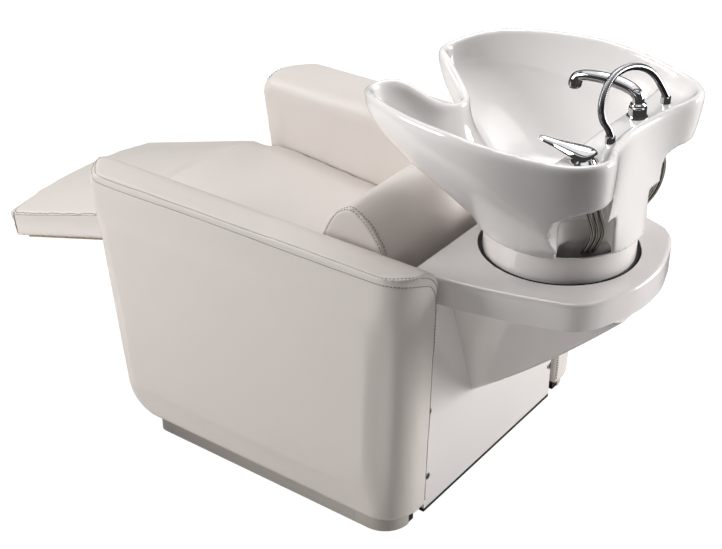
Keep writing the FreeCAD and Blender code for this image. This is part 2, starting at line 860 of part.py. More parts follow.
def panel_battens():
    """Two battens on the rear uprights that the rear panel is screwed to."""
    pieces = []
    for side in (-1, 1):
        x0 = side * rail_x - tube / 2
        batten = box(x0, x0 + tube, upright_rear_y + tube / 2, panel_y, plinth_height + tube, top_cross_z)
        for x, z in panel_screw_places():
            start = V(x, panel_y - 3 * screw_head_r, z)
            batten = batten.cut(rod(screw_r + seat_gap / 2, start, V(x, panel_y, z)))
        pieces.append(batten)
    return pieces


def panel_screw_places():
    """Where the rear panel's screws go."""
    levels = (plinth_height + tube + screw_inset, (top_cross_z + plinth_height) / 2,
              top_cross_z - screw_inset)
    return [(side * rail_x, z) for side in (-1, 1) for z in levels]


def panel_screws():
    """Dome-headed screws of the rear panel."""
    screws = []
    for x, z in panel_screw_places():
        face_y = panel_y + panel
        head = disc(screw_head_r, screw_head, V(x, face_y, z), Y_AXIS)
        shank = rod(screw_r, V(x, face_y, z), V(x, panel_y - 2 * screw_head_r, z))
        screws.append(head.fuse(shank))
    return screws


def belly_section(shares, wall, lift):
    """Rounded trapezoid of the belly in an upright plane, narrowed by a wall."""
    along, top_share, low_share, rise = shares
    y = panel_y + panel + along * (shelf_rear_y - panel_y - panel)
    top = shelf_top_z - shelf_rim
    low = belly_low_z + rise * (top - belly_low_z) + wall
    top_half = belly_top_half * top_share - wall
    low_half = belly_low_half * low_share - wall
    points = [V(top_half, y, top + lift), V(low_half, y, low), V(-low_half, y, low),
              V(-top_half, y, top + lift)]
    radius = belly_corner_r - wall
    return rounded(points, [0, radius, radius, 0])


def belly():
    """Hollow moulding under the shelf that hides the basin arms, open at the top and the front."""
    outer = Part.makeLoft([belly_section(shares, 0, 0) for shares in belly_shares], True, False)
    inner_shares = [(belly_shares[0][0] - belly_open_share,) + belly_shares[0][1:]] + belly_shares[1:-1]
    last = belly_shares[-1]
    inner_shares.append((last[0] - belly_wall / (shelf_rear_y - panel_y),) + last[1:])
    sections = [belly_section(shares, belly_wall, overrun) for shares in inner_shares]
    inner = Part.makeLoft(sections, True, False)
    return outer.cut(inner)


def shelf_outline(inset):
    """Plan of the shelf: straight front, then one smooth curve round the sides and the rear."""
    depth = shelf_rear_y - shelf_front_y

    def place(side, shares):
        x = shelf_half * shares[0]
        y = shelf_front_y + depth * shares[1]
        return V(side * (x - inset * shares[2]), y - inset * shares[3], 0)

    front_y = shelf_front_y + inset
    start = V(shelf_half - inset, front_y + shelf_corner_r, 0)
    end = V(-start.x, start.y, 0)
    right = [start] + [place(1, shares) for shares in shelf_side_shares]
    left = [end] + [place(-1, shares) for shares in shelf_side_shares]
    rear = V(0, shelf_rear_y - inset, 0)
    curve = Part.BSplineCurve()
    curve.interpolate(right + [rear] + left[::-1])
    first = corner(V(-start.x, front_y, 0), V(start.x, front_y, 0), start, shelf_corner_r / 2)
    second = corner(end, V(-start.x, front_y, 0), V(start.x, front_y, 0), shelf_corner_r / 2)
    return Part.Wire([line(second[2], first[0]), arc(*first), line(first[2], start), curve.toShape(),
                      line(end, second[0]), arc(*second)])


def shelf():
    """Hollow shelf moulding: a top skin, a rounded rim and a ring wall round the collar."""
    low = shelf_top_z - shelf_rim
    body = Part.Face(shelf_outline(0)).extrude(V(0, 0, shelf_rim))
    body.translate(V(0, 0, low))
    top_edges = [edge for edge in body.Edges if edge.BoundBox.ZMin > shelf_top_z - seat_gap]
    body = body.makeFillet(shelf_edge_r, top_edges)
    inner = Part.Face(shelf_outline(shelf_wall)).extrude(V(0, 0, shelf_rim - shelf_wall))
    inner.translate(V(0, 0, low))
    ring = disc(shelf_hole_r + shelf_wall, shelf_rim, V(0, collar_y, low))
    inner = inner.cut(ring)
    hole = disc(shelf_hole_r, shelf_rim, V(0, collar_y, low))
    return body.cut(inner).cut(hole)


# Basin support

def plate_level():
    """Top of the basin plate."""
    return top_cross_z + tube + plate_thickness


def basin_plate():
    """Steel plate on the basin arms, round at the rear, with an opening for the trap."""
    low = top_cross_z + tube
    body = box(-plate_half, plate_half, plate_front_y, collar_y, low, plate_level())
    body = body.fuse(disc(plate_half, plate_thickness, V(0, collar_y, low)))
    inner = cantilever_x - tube / 2
    hole = box(-inner + overrun, inner - overrun, drain_y - plate_hole_depth / 2,
               drain_y + plate_hole_depth / 2 - overrun, low, plate_level())
    return body.cut(hole)


def collar():
    """Round collar that stands on the plate and reaches up under the bowl."""
    low = plate_level()
    body = disc(collar_r, collar_top_z - low, V(0, collar_y, low))
    return body.cut(disc(collar_r - collar_wall, collar_top_z - low, V(0, collar_y, low)))


def gap_seal():
    """Dark rubber ring that closes the gap between the collar and the shelf."""
    outer = disc(shelf_hole_r - seat_gap, seal_height, V(0, collar_y, seal_top_z - seal_height))
    return outer.cut(disc(collar_r + seat_gap, seal_height, V(0, collar_y, seal_top_z - seal_height)))


def tilt_ears():
    """Two upright ears on the plate that hold the tilt shaft."""
    ears = []
    for side in (-1, 1):
        x0 = side * ear_x - ear_plate / 2
        low = plate_level()
        points = [V(x0, collar_y - ear_half, low), V(x0, collar_y + ear_half, low),
                  V(x0, collar_y + ear_top_r, tilt_z), V(x0, collar_y - ear_top_r, tilt_z)]
        ear = Part.Face(Part.makePolygon(points + [points[0]])).extrude(V(ear_plate, 0, 0))
        ear = ear.fuse(disc(ear_top_r, ear_plate, V(x0, collar_y, tilt_z), X_AXIS))
        foot_x = x0 - ear_foot + ear_plate if side < 0 else x0
        foot = box(foot_x, foot_x + ear_foot, collar_y - ear_half, collar_y + ear_half, low,
                   low + plate_thickness)
        ears.append(ear.fuse(foot).cut(disc(tilt_shaft_r, ear_plate, V(x0, collar_y, tilt_z), X_AXIS)))
    return ears


def cradle_ear_x():
    """Middle of the cradle's ears, just outside the fixed ears."""
    return ear_x + ear_plate + slide_gap


def tilt_shaft():
    """Shaft of the tilt joint with a nut at each end."""
    reach = cradle_ear_x() + ear_plate / 2 + slide_gap
    shaft = rod(tilt_shaft_r, V(-reach, collar_y, tilt_z), V(reach, collar_y, tilt_z))
    for x in (-reach - cradle_nut, reach):
        shaft = shaft.fuse(disc(cradle_nut_r, cradle_nut, V(x, collar_y, tilt_z), X_AXIS))
    return shaft


def tilt_cradle():
    """Steel cradle under the bowl: a plate with two ears that turn on the tilt shaft."""
    top = ceiling_z
    half = cradle_ear_x() + ear_plate / 2
    body = box(-half, half, collar_y - cradle_half_y, collar_y + cradle_half_y, top - cradle_plate, top)
    for side in (-1, 1):
        x0 = side * cradle_ear_x() - ear_plate / 2
        under = top - cradle_plate
        points = [V(x0, collar_y - ear_half, under), V(x0, collar_y + ear_half, under),
                  V(x0, collar_y + ear_top_r, tilt_z), V(x0, collar_y - ear_top_r, tilt_z)]
        ear = Part.Face(Part.makePolygon(points + [points[0]])).extrude(V(ear_plate, 0, 0))
        ear = ear.fuse(disc(ear_top_r, ear_plate, V(x0, collar_y, tilt_z), X_AXIS))
        body = body.fuse(ear)
    for side in (-1, 1):
        x0 = side * cradle_ear_x() - ear_plate / 2
        body = body.cut(disc(tilt_shaft_r + running_gap, ear_plate, V(x0, collar_y, tilt_z), X_AXIS))
    return body.cut(disc(drain_hole_r + waste_wall, cradle_plate, V(0, drain_y, top - cradle_plate)))


# Bowl

def rim_point(shares):
    """A rim point from its shares of half width, length and rise."""
    return V(bowl_half * shares[0], bowl_front_y + (bowl_rear_y - bowl_front_y) * shares[1],
             bowl_low_z + (bowl_high_z - bowl_low_z) * shares[2])


def rim_columns():
    """Rim crest points and outward plan directions from the neck round the right side to the back."""
    right = [rim_point(shares) for shares in rim_shares]
    front = rim_point((0.0,) + neck_shares)
    rear = rim_point((0.0,) + rear_shares)
    left = [V(-p.x, p.y, p.z) for p in reversed(right)]
    curve = Part.BSplineCurve()
    curve.interpolate([front] + right + [rear] + left, PeriodicFlag=True)
    start = curve.FirstParameter
    half = (curve.LastParameter - start) / 2
    columns = []
    for i in range(column_count + 1):
        at = start + half * i / column_count
        point = curve.value(at)
        tangent = curve.tangent(at)[0]
        outward = V(tangent.y, -tangent.x, 0).normalize()
        if i in (0, column_count):
            point = V(0, point.y, point.z)
            outward = V(0, 1 if i else -1, 0)
        columns.append((point, outward))
    return columns


def smooth_step(value):
    """Zero to one with level ends."""
    value = min(max(value, 0.0), 1.0)
    return value * value * (3 - 2 * value)


def swell(share, power):
    """How far a wall has opened from its foot to its rim."""
    return math.sin(share * math.pi / 2) ** power


def power_at(direction, powers):
    """A wall's power towards one side: the first at the neck, the second at the back."""
    share = smooth_step((direction.y + power_shares[0]) / power_shares[1])
    return powers[0] + (powers[1] - powers[0]) * share


def mixed(a, b, share):
    """A point part of the way from one point to another."""
    return a + (b - a) * share


def flat_direction(point, centre_y):
    """Unit plan direction from a centre on the middle line."""
    offset = V(point.x, point.y - centre_y, 0)
    return offset.normalize()


def outer_rows(crest, outward):
    """Outer wall from the skirt to the lip for one column."""
    edge = crest + outward * lip_half - V(0, 0, lip_round)
    direction = flat_direction(crest, collar_y)
    foot = V(0, collar_y, 0) + direction * skirt_r
    power = power_at(direction, outer_powers)
    rows = []
    for share in outer_row_shares:
        point = mixed(foot, edge, swell(share, power))
        point.z = skirt_z + (edge.z - skirt_z) * share
        rows.append(point)
    return rows


def inner_rows(crest, outward):
    """Inner wall from the lip down to the floor, with the deck's ledge at the rear."""
    edge = crest - outward * lip_half - V(0, 0, lip_round)
    direction = flat_direction(edge, floor_y)
    reach = V(edge.x, edge.y - floor_y, 0).Length
    centre = V(0, floor_y, 0)
    foot = V(direction.x * floor_half_x, floor_y + direction.y * floor_half_y, floor_z)
    brink = (deck_front_y - floor_y) / max(direction.y, deck_fade / reach)
    depth = max(reach - brink, 0)
    deck = smooth_step(depth / deck_fade)
    ledge_end = inner_row_shares[len(ledge_shares) - 1]
    power = power_at(direction, inner_powers)
    rows = []
    for index, share in enumerate(inner_row_shares):
        point = mixed(foot, edge, swell(share, power))
        point.z = floor_z + (edge.z - floor_z) * share
        if index < len(ledge_shares):
            inward, rise, fall = ledge_shares[index]
            step = centre + direction * (reach - depth * inward)
            step.z = deck_z + rise * (edge.z - deck_z) - fall * lip_round
        else:
            last = centre + direction * (reach - depth * ledge_shares[-1][0])
            step = mixed(foot, last, swell(share / ledge_end, power))
            step.z = floor_z + (deck_z - ledge_shares[-1][2] * lip_round - floor_z) * share / ledge_end
        rows.append(mixed(point, step, deck))
    return rows, foot


def floor_rows(foot):
    """Floor from the foot of the inner wall to the drain."""
    drain = V(0, drain_y, 0)
    direction = (V(foot.x, foot.y, 0) - drain).normalize()
    ring = drain + direction * drain_r
    rows = []
    for share in floor_row_shares:
        point = mixed(ring, V(foot.x, foot.y, 0), share)
        point.z = drain_z + (floor_z - drain_z) * share ** 2
        rows.append(point)
    return rows


def lip_rows(crest, outward):
    """Rounded lip between the outer and the inner wall."""
    shift = lip_half * lip_step_share
    lift = V(0, 0, lip_round * lip_lift_share)
    return [crest + outward * shift, crest + lift, crest - outward * shift]


def smooth_skin(columns):
    """A smooth closed tube of surface drawn by a ring of columns of guide points."""
    rows = len(columns[0])
    around = len(columns) + 1
    surface = Part.BSplineSurface()
    ends = [skin_degree + 1]
    surface.buildFromPolesMultsKnots(columns, [1] * around, ends + [1] * (rows - skin_degree - 1) + ends,
                                     list(range(around)), list(range(rows - skin_degree + 1)),
                                     True, False, skin_degree, skin_degree)
    return surface.toShape()


def bowl_skin():
    """The glazed skin: outer wall, lip, inner wall, deck and floor."""
    right = []
    for crest, outward in rim_columns():
        inner, foot = inner_rows(crest, outward)
        right.append(outer_rows(crest, outward) + lip_rows(crest, outward) + inner + floor_rows(foot))
    left = [[V(-p.x, p.y, p.z) for p in column] for column in right[-2:0:-1]]
    return smooth_skin(right + left)


def stretched(shape, radii):
    """A unit shape stretched along the three axes."""
    stretch = FreeCAD.Matrix()
    stretch.scale(*radii)
    return shape.transformGeometry(stretch)


def turned_out(shape, reach, angle, side):
    """Move a shape out from the collar's axis and turn it towards a rear corner."""
    shape.translate(V(0, reach, 0))
    shape.rotate(V(0, 0, 0), Z_AXIS, -side * angle)
    shape.translate(V(0, collar_y, 0))
    return shape


def alcove(side):
    """Hollow at a rear corner of the skirt where the hoses come out: a low dome over a long scoop."""
    above = box(-1, 1, -1, 1, 0, 1)
    dome = stretched(Part.makeSphere(1).common(above), alcove_radii + (alcove_crown,))
    scoop = stretched(Part.makeSphere(1).cut(above), alcove_radii + (alcove_z - tilt_z,))
    dome.translate(V(0, 0, alcove_z))
    scoop.translate(V(0, 0, alcove_z))
    foot = stretched(Part.makeCylinder(1, 1), alcove_foot_radii + (alcove_foot_top_z - tilt_z,))
    foot.translate(V(0, 0, tilt_z))
    foot = turned_out(foot, alcove_foot_reach, alcove_foot_angle, side)
    return [turned_out(piece, alcove_reach, alcove_angle, side) for piece in (dome, scoop)] + [foot]


def bowl():
    """Ceramic bowl: glazed skin closed below, hollowed for the tilt gear, drilled for its fittings."""
    skin = bowl_skin()
    caps = []
    for level in (skirt_z, drain_z):
        ring = [edge for edge in skin.Edges if edge.BoundBox.ZLength < seat_gap
                and abs(edge.BoundBox.ZMin - level) < seat_gap]
        caps.append(Part.Face(Part.Wire(ring)))
    shell = Part.makeShell([skin] + caps)
    shell.sewShape()
    body = Part.makeSolid(shell)
    if body.Volume < 0:
        body.reverse()
    drain = disc(drain_hole_r, drain_z - ceiling_z + overrun, V(0, drain_y, ceiling_z - overrun / 2))
    flange = disc(waste_flange_r + seat_gap, overrun * 4, V(0, drain_y, drain_z - waste_flange))
    mixer_low = V(mixer_x, mixer_y, deck_z - mixer_shank - seat_gap)
    shower_low = V(shower_x, shower_y, deck_z - shank_depth - seat_gap)
    cuts = [bowl_cavity(), drain, flange]
    for side in (-1, 1):
        cuts += alcove(side) + [hose_well(side)]
    cuts.append(disc(mixer_shank_r + seat_gap, mixer_shank + overrun, mixer_low))
    cuts.append(disc(shank_r + slide_gap, shank_depth + overrun, shower_low))
    for cut in cuts:
        body = body.cut(cut)
    return body


def hose_well(side):
    """Blind well above an alcove, where the hoses end under the deck."""
    well = stretched(Part.makeCylinder(1, 1), well_radii + (well_top_z - alcove_z,))
    well.translate(V(side * well_x, well_y, alcove_z))
    return well


def bowl_cavity():
    """Ball-shaped hollow under the bowl that clears the collar when the bowl tilts."""
    rise = collar_top_z - tilt_z
    radius = math.sqrt(collar_r ** 2 + rise ** 2) + skirt_gap
    ball = Part.makeSphere(radius, V(0, collar_y, tilt_z))
    return ball.common(box(-radius, radius, collar_y - radius, collar_y + radius, tilt_z, ceiling_z))


def waste_fitting():
    """Chrome strainer with its tail through the bowl's floor."""
    flange = disc(waste_flange_r, waste_flange, V(0, drain_y, drain_z - waste_flange))
    tail_r = drain_hole_r - seat_gap
    tail = disc(tail_r, drain_z - waste_flange - trap_top_z, V(0, drain_y, trap_top_z))
    bore_low = V(0, drain_y, trap_top_z - waste_flange)
    tail = tail.cut(disc(tail_r - waste_wall, drain_z - trap_top_z, bore_low))
    body = flange.fuse(tail)
    for i in range(waste_slots):
        angle = 2 * math.pi * i / waste_slots
        centre = V(waste_slot_ring_r * math.cos(angle), drain_y + waste_slot_ring_r * math.sin(angle),
                   drain_z - 2 * waste_flange)
        body = body.cut(disc(waste_slot_r, 4 * waste_flange, centre))
    return body


def bottle_trap():
    """Plastic bottle trap screwed on the waste's tail."""
    tail_r = drain_hole_r - seat_gap
    nut = disc(trap_nut_r, trap_nut, V(0, drain_y, trap_top_z))
    nut = nut.cut(disc(tail_r + seat_gap, trap_nut, V(0, drain_y, trap_top_z)))
    bottle = disc(trap_r, trap_top_z - trap_low_z, V(0, drain_y, trap_low_z))
    hollow_height = trap_top_z - trap_low_z - 2 * trap_wall
    hollow = disc(trap_r - trap_wall, hollow_height, V(0, drain_y, trap_low_z + trap_wall))
    mouth = disc(tail_r - waste_wall, 2 * trap_wall, V(0, drain_y, trap_top_z - 2 * trap_wall))
    return bottle.cut(hollow).cut(mouth).fuse(nut)


# Mixer and hand shower

def mixer_base():
    """Chrome mixer body with a flange on the deck and a socket for the stem."""
    place = V(mixer_x, mixer_y, deck_z)
    body = disc(mixer_r + mixer_flange, mixer_flange, place)
    body = body.fuse(Part.makeCone(mixer_r, mixer_r * mixer_top_share, mixer_height, place, Z_AXIS))
    body = body.fuse(disc(mixer_shank_r, mixer_shank, place - V(0, 0, mixer_shank)))
    top = V(mixer_x, mixer_y, deck_z + mixer_height - stem_recess)
    return body.cut(disc(stem_r + running_gap, stem_recess, top))


def stem_top():
    """Height of the lever's pin."""
    return deck_z + mixer_height - stem_recess + seat_gap + stem_height


def mixer_stem():
    """Turning stem of the mixer with the cross pin that the lever rocks on."""
    low = deck_z + mixer_height - stem_recess + seat_gap
    stem = disc(stem_r, stem_shoulder, V(mixer_x, mixer_y, low))
    neck = box(mixer_x - neck_half, mixer_x + neck_half, mixer_y - neck_depth, mixer_y + neck_depth,
               low, stem_top())
    pin = rod(lever_pin, V(mixer_x - lever_pin_half, mixer_y, stem_top()),
              V(mixer_x + lever_pin_half, mixer_y, stem_top()))
    return stem.fuse(neck).fuse(pin)


def mixer_lever():
    """Teardrop lever: a fat rounded end over the stem, tapering to a thin tip."""
    pivot = V(mixer_x, mixer_y, stem_top())
    low = pivot.z - lever_pin - lever_floor
    sections = []
    for along, width, height, rise in lever_shares:
        y = mixer_y - along * lever_length
        half = lever_fat_r * width
        base = low + lever_height * rise
        left = V(mixer_x - half, y, base)
        right = V(mixer_x + half, y, base)
        crown = V(mixer_x, y, base + lever_height * height)
        sections.append(Part.Wire([line(left, right), arc(right, crown, left)]))
    body = Part.makeLoft(sections, True, False)
    body.rotate(pivot, X_AXIS, -lever_tilt)
    room = neck_half + slide_gap
    pocket = box(mixer_x - room, mixer_x + room, mixer_y - room, mixer_y + room, low - lever_height,
                 pivot.z + lever_pin + slide_gap)
    reach = V(lever_pin_half + slide_gap, 0, 0)
    body = body.cut(pocket).cut(rod(lever_pin + running_gap, pivot - reach, pivot + reach))
    for stop in lever_lift_stops:
        body = body.cut(stem_room(pivot, stop))
    return body


def stem_room(pivot, lift):
    """Room in the lever for the stem's shoulder when the lever is lifted by an angle."""
    low = pivot.z - stem_height
    room = disc(stem_r + slide_gap, stem_shoulder + slide_gap, V(mixer_x, mixer_y, low))
    room.rotate(pivot, X_AXIS, lift)
    return room


def shower_socket():
    """Chrome socket on the deck that the hand shower stands in."""
    place = V(shower_x, shower_y, deck_z)
    body = disc(socket_r + socket_flange, socket_flange, place).fuse(disc(socket_r, socket_height, place))
    return body.cut(disc(shank_r + slide_gap, socket_height, place))


def handle_points():
    """The hand shower's centre line from its knuckle to its head."""
    start = V(shower_x, shower_y, deck_z + socket_height + seat_gap + knuckle_rise)
    return [start + V(0, -shower_reach * along, shower_rise * up) for along, up in handle_shares]


def head_place():
    """Middle of the hand shower's nozzle face."""
    return handle_points()[-1] - V(0, 0, head_length * head_drop_share)


def hand_shower():
    """Hand shower: a shank in the socket, a low curved handle and a head that points down."""
    points = handle_points()
    seat = V(shower_x, shower_y, deck_z + socket_height + seat_gap)
    shank = rod(shank_r, V(shower_x, shower_y, deck_z - shank_depth), seat + V(0, 0, seat_gap))
    cuff = disc(socket_r - 2 * seat_gap, knuckle_rise / 2, seat)
    below = disc(2 * knuckle_r, 2 * knuckle_r, seat - V(0, 0, 2 * knuckle_r))
    knuckle = Part.makeSphere(knuckle_r, points[0]).cut(below)
    route, _ = smooth_path(points)
    ring = Part.Wire(Part.makeCircle(shower_tube_r, points[0], points[1] - points[0]))
    handle = route.makePipeShell([ring], True, False)
    head = disc(head_r, head_length, head_place())
    pocket = disc(face_r + seat_gap, face, head_place())
    return shank.fuse(cuff).fuse(knuckle).fuse(handle).fuse(head).cut(pocket)


def spray_face():
    """Black nozzle plate in the hand shower's head."""
    return disc(face_r, face, head_place())


def loop_hose():
    """Metal hose that stands in a loop between two ferrules on the deck."""
    return hose(loop_route, loop_hose_r, "loop hose")


def ferrules():
    """Chrome ferrules at the two ends of the metal hose."""
    pieces = []
    for end in (loop_route[0], loop_route[-1]):
        ring = disc(ferrule_r, ferrule, V(end.x, end.y, end.z - ferrule))
        pieces.append(ring)
    return pieces


def supply_hoses(side):
    """Three braided hoses side by side, from the bowl's hollow down into the collar."""
    pieces = []
    across = V(math.cos(math.radians(supply_angle)), -math.sin(math.radians(supply_angle)), 0)
    for i in range(supply_count):
        shift = across * ((i - (supply_count - 1) / 2) * supply_pitch)
        route = [point + shift for point in supply_route]
        solid = hose(route, supply_r, "supply hose")
        pieces.append(solid if side > 0 else mirrored(solid))
    return pieces


# Assembly

def save(name, shapes):
    """Write one node, a single solid or a group of solids, moved so that the origin is mid-length."""
    solids = []
    for shape in shapes if isinstance(shapes, list) else [shapes]:
        shape = shape.copy()
        shape.translate(V(0, -origin_y, 0))
        solids.extend(shape.Solids)
    volume = sum(solid.Volume for solid in solids)
    valid = all(solid.isValid() for solid in solids)
    print(name, len(solids), "solids", round(volume / 1000), "cm3", "valid" if valid else "NOT VALID")
    node = solids[0] if len(solids) == 1 else Part.makeCompound(solids)
    node.exportStep("parts/" + name + ".step")


def save_pair(name, right):
    """Write a right-hand piece and its mirrored left-hand twin."""
    save(name + "_right", right)
    save(name + "_left", mirrored(right))


def save_sides():
    """Arms, boards and plinth of both sides."""
    save_pair("arm_pad", arm_pad())
    save_pair("arm_board", bolted(arm_board_block(0)))
    right_bolts = arm_bolts()
    save("arm_bolts", right_bolts + [mirrored(bolt) for bolt in right_bolts])
    block, strip, front_corner, rear_corner = plinth_pieces()
    save_pair("plinth_block", block)
    save_pair("plinth_strip", strip)
    save("plinth_corners", [front_corner, mirrored(front_corner), rear_corner, mirrored(rear_corner)])
    save("front_panel", front_panel_board())


def save_frame():
    """Steel frame and its feet."""
    save_pair("base_rail", footed(side_rail(), 1))
    save_pair("front_upright", bolted(upright(upright_front_y, seat_rail_z)))
    save_pair("rear_upright", bolted(upright(upright_rear_y, top_cross_z)))
    save_pair("seat_rail", seat_rail())
    save("base_crosses", [cross_rail(y, plinth_height) for y in (upright_front_y, upright_rear_y)])
    save("top_cross", top_cross())
    save_pair("basin_arm", cantilever())
    save("levelling_feet", levelling_feet())


def save_seat():
    """Seat, backrest and leg rest."""
    save("seat_board", seat_board_plate())
    save("seat_cushion", seat_cushion())
    save("backrest_cushion", backrest_cushion())
    save("backrest_board", backrest_board_plate())
    save("leg_rest_cushion", leg_cushion())
    save("leg_rest_board", leg_board_plate())
    save("leg_rest_brackets", leg_brackets())
    save("leg_rest_shaft", hinge_shaft())
    save("hinge_bearings", hinge_bearings())
    save("actuator_body", actuator_body())
    save("actuator_rod", actuator_rod())


def save_rear():
    """Rear panel, belly, shelf and basin support."""
    save("rear_panel", rear_panel())
    save("rear_skirt", rear_skirt())
    save("panel_battens", panel_battens())
    save("rear_panel_screws", panel_screws())
    save("belly_cover", belly())
    save("shelf", shelf())
    save("basin_plate", basin_plate())
    save("collar", collar())
    save("gap_seal", gap_seal())
    save("tilt_ears", tilt_ears())
    save("tilt_shaft", tilt_shaft())


def seated(shape, others):
    """A fitting cut to sit on the pieces it touches, without loose slivers."""
    for other in others:
        shape = shape.cut(other)
    return max(shape.Solids, key=lambda solid: solid.Volume)


def save_basin():
    """Bowl with everything that tilts with it."""
    glazed = bowl()
    loop = loop_hose()
    save("tilt_cradle", tilt_cradle())
    save("bowl", glazed)
    save("waste_fitting", waste_fitting())
    save("bottle_trap", bottle_trap())
    save("mixer_base", seated(mixer_base(), [glazed]))
    save("mixer_stem", mixer_stem())
    save("mixer_lever", mixer_lever())
    save("shower_socket", seated(shower_socket(), [glazed]))
    save("hand_shower", hand_shower())
    save("spray_face", spray_face())
    save("shower_hose", loop)
    save("hose_ferrules", [seated(ring, [glazed, loop]) for ring in ferrules()])
    save("supply_hoses_right", supply_hoses(1))
    save("supply_hoses_left", supply_hoses(-1))


save_sides()
save_frame()
save_seat()
save_rear()
save_basin()
print("rod travel per radian", round(actuator_ratio(), 3), "lever pin z", round(stem_top(), 2))
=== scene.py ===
import json
import math

import bmesh
import bpy
import numpy as np
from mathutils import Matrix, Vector
from mathutils.bvhtree import BVHTree
from mathutils.kdtree import KDTree


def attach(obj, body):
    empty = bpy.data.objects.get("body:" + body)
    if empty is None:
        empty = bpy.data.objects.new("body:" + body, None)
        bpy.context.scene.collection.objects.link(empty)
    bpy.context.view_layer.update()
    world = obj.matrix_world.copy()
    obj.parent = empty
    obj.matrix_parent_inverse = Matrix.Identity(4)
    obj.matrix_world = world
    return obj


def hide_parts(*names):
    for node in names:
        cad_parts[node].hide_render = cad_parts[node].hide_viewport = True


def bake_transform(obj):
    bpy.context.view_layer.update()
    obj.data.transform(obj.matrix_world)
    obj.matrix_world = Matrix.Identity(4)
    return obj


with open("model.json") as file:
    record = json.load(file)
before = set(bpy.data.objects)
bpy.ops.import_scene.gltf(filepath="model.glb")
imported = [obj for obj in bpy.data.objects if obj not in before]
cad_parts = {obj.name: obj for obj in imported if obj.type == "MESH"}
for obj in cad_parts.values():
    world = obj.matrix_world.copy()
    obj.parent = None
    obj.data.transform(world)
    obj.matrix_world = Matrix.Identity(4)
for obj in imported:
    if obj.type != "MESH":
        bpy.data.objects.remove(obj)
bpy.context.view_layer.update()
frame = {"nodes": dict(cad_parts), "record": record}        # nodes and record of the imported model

bl_info = {
    "name": "Hair washing bed",
    "version": (1, 0, 0),
    "blender": (4, 5, 0),
    "location": "View3D > Sidebar > Washing bed",
    "description": "Covers, finishes, hoses and stage of a salon hair washing bed",
    "category": "Object",
}

DATUM = 0.1221           # routes and places on the object are measured from here along Y

# Camera, in metres apart from the sensor's millimetres
PHOTO_FOCAL = 0.07191
SENSOR_WIDTH = 36.0
CAMERA_PLACE = Vector((2.2193, 1.6017 + DATUM, 1.9435))
CAMERA_AIM = Vector((0.0, -0.0266 + DATUM, 0.3285))

# Lamps: name, place, what it points at, size, watts
LAMPS = [("key_lamp", (2.6, -2.5, 1.9), (0.0, 0.0, 0.4), (1.6, 1.6), 112.0),
         ("top_lamp", (-0.8, 0.1, 3.3), (0.0, 0.1, 0.3), (2.0, 2.0), 46.0),
         ("rear_lamp", (-2.3, 2.9, 1.2), (0.0, 0.3, 0.4), (1.6, 1.2), 120.0)]

# Surroundings: what gloss mirrors, by how far up its ray points, and the soft light
MIRROR_BANDS = ((0.40, 0.04), (0.46, 0.75), (0.52, 0.9), (0.56, 0.03), (0.64, 0.03), (0.70, 0.95),
                (0.9, 1.0))
MIRROR_BELOW = 0.05
MIRROR_ABOVE = 0.9
DARK_SIDE = (0.72, 0.69, 0.0)         # little light comes from here
LIGHT_AWAY = 0.46        # strength of the light from the other side
LIGHT_DARK = 0.02        # and from the dark one
LIGHT_TONE = (1.0, 0.985, 0.97, 1.0)

# Floor
FLOOR_REACH = 30
FLOOR_DROP = 0.0005      # below the feet
FLOOR_TONE = (0.8, 0.79, 0.78, 1.0)
FLOOR_SHOWN = 1.12       # its glow in the picture
FLOOR_MIRRORED = 0.05    # its glow in gloss and glass
FLOOR_GLOW = 0.88        # share of the glow in the picture; the rest takes the shadow
WHITE = (1.0, 1.0, 1.0, 1.0)

# Seam routes in millimetres, right side; the left side mirrors them
ARM_OUTER_ROW = [
    (276, -520, 588), (302, -512, 602), (338, -490, 604), (358, -472, 603), (371, -458, 598),
    (375, -440, 588), (375, -400, 585), (375, -311, 586), (375, -200, 589), (375, -69, 590),
    (375, 105, 590), (375, 200, 591), (375, 278, 592), (369, 306, 592), (353, 330, 590),
    (330, 346, 586), (303, 352, 577), (285, 352, 560), (275, 352, 535), (271, 352, 480),
    (270, 351, 420), (269, 350, 300), (269, 348, 200), (269, 345, 50)]
ARM_INNER_ROW = [
    (276, -508, 590), (302, -500, 606), (338, -478, 608), (354, -462, 608), (366, -448, 606),
    (371, -425, 602), (371, -311, 602), (371, -200, 603), (371, -69, 604), (371, 105, 605),
    (371, 200, 606), (371, 278, 606), (365, 303, 606), (349, 325, 605), (330, 340, 603),
    (308, 346, 596), (288, 348, 582), (272, 350, 560), (265, 351, 530), (265, 352, 480),
    (265, 351, 420), (265, 350, 300), (265, 348, 200), (265, 345, 50)]
BACK_CAP_ROW = [
    (260, -60, 432), (260, -20, 474), (260, 30, 524), (260, 70, 571), (260, 86, 606),
    (260, 104, 634), (260, 126, 648), (260, 150, 648), (260, 182, 624), (260, 205, 594),
    (260, 215, 566), (260, 215, 520)]
BACK_ROLL_ROW = [
    (251, -70, 440), (251, -30, 482), (251, 20, 532), (251, 62, 575), (251, 78, 616),
    (251, 100, 645), (251, 126, 656), (251, 152, 656), (251, 190, 634), (251, 214, 602),
    (251, 222, 570), (251, 222, 520)]
LEG_TOP_HALF = [
    (245, -556, 421), (245, -602, 407), (245, -714, 372), (245, -803, 344), (243, -868, 325),
    (236, -884, 320), (215, -890, 318), (120, -892, 319), (0, -892, 320)]
LEG_TOP_SEAM = LEG_TOP_HALF + [(-x, y, z) for x, y, z in reversed(LEG_TOP_HALF[:-1])]
LEG_CORNER_SEAM = [
    (243, -884, 318), (244, -886, 300), (244, -884, 280), (243, -880, 264)]

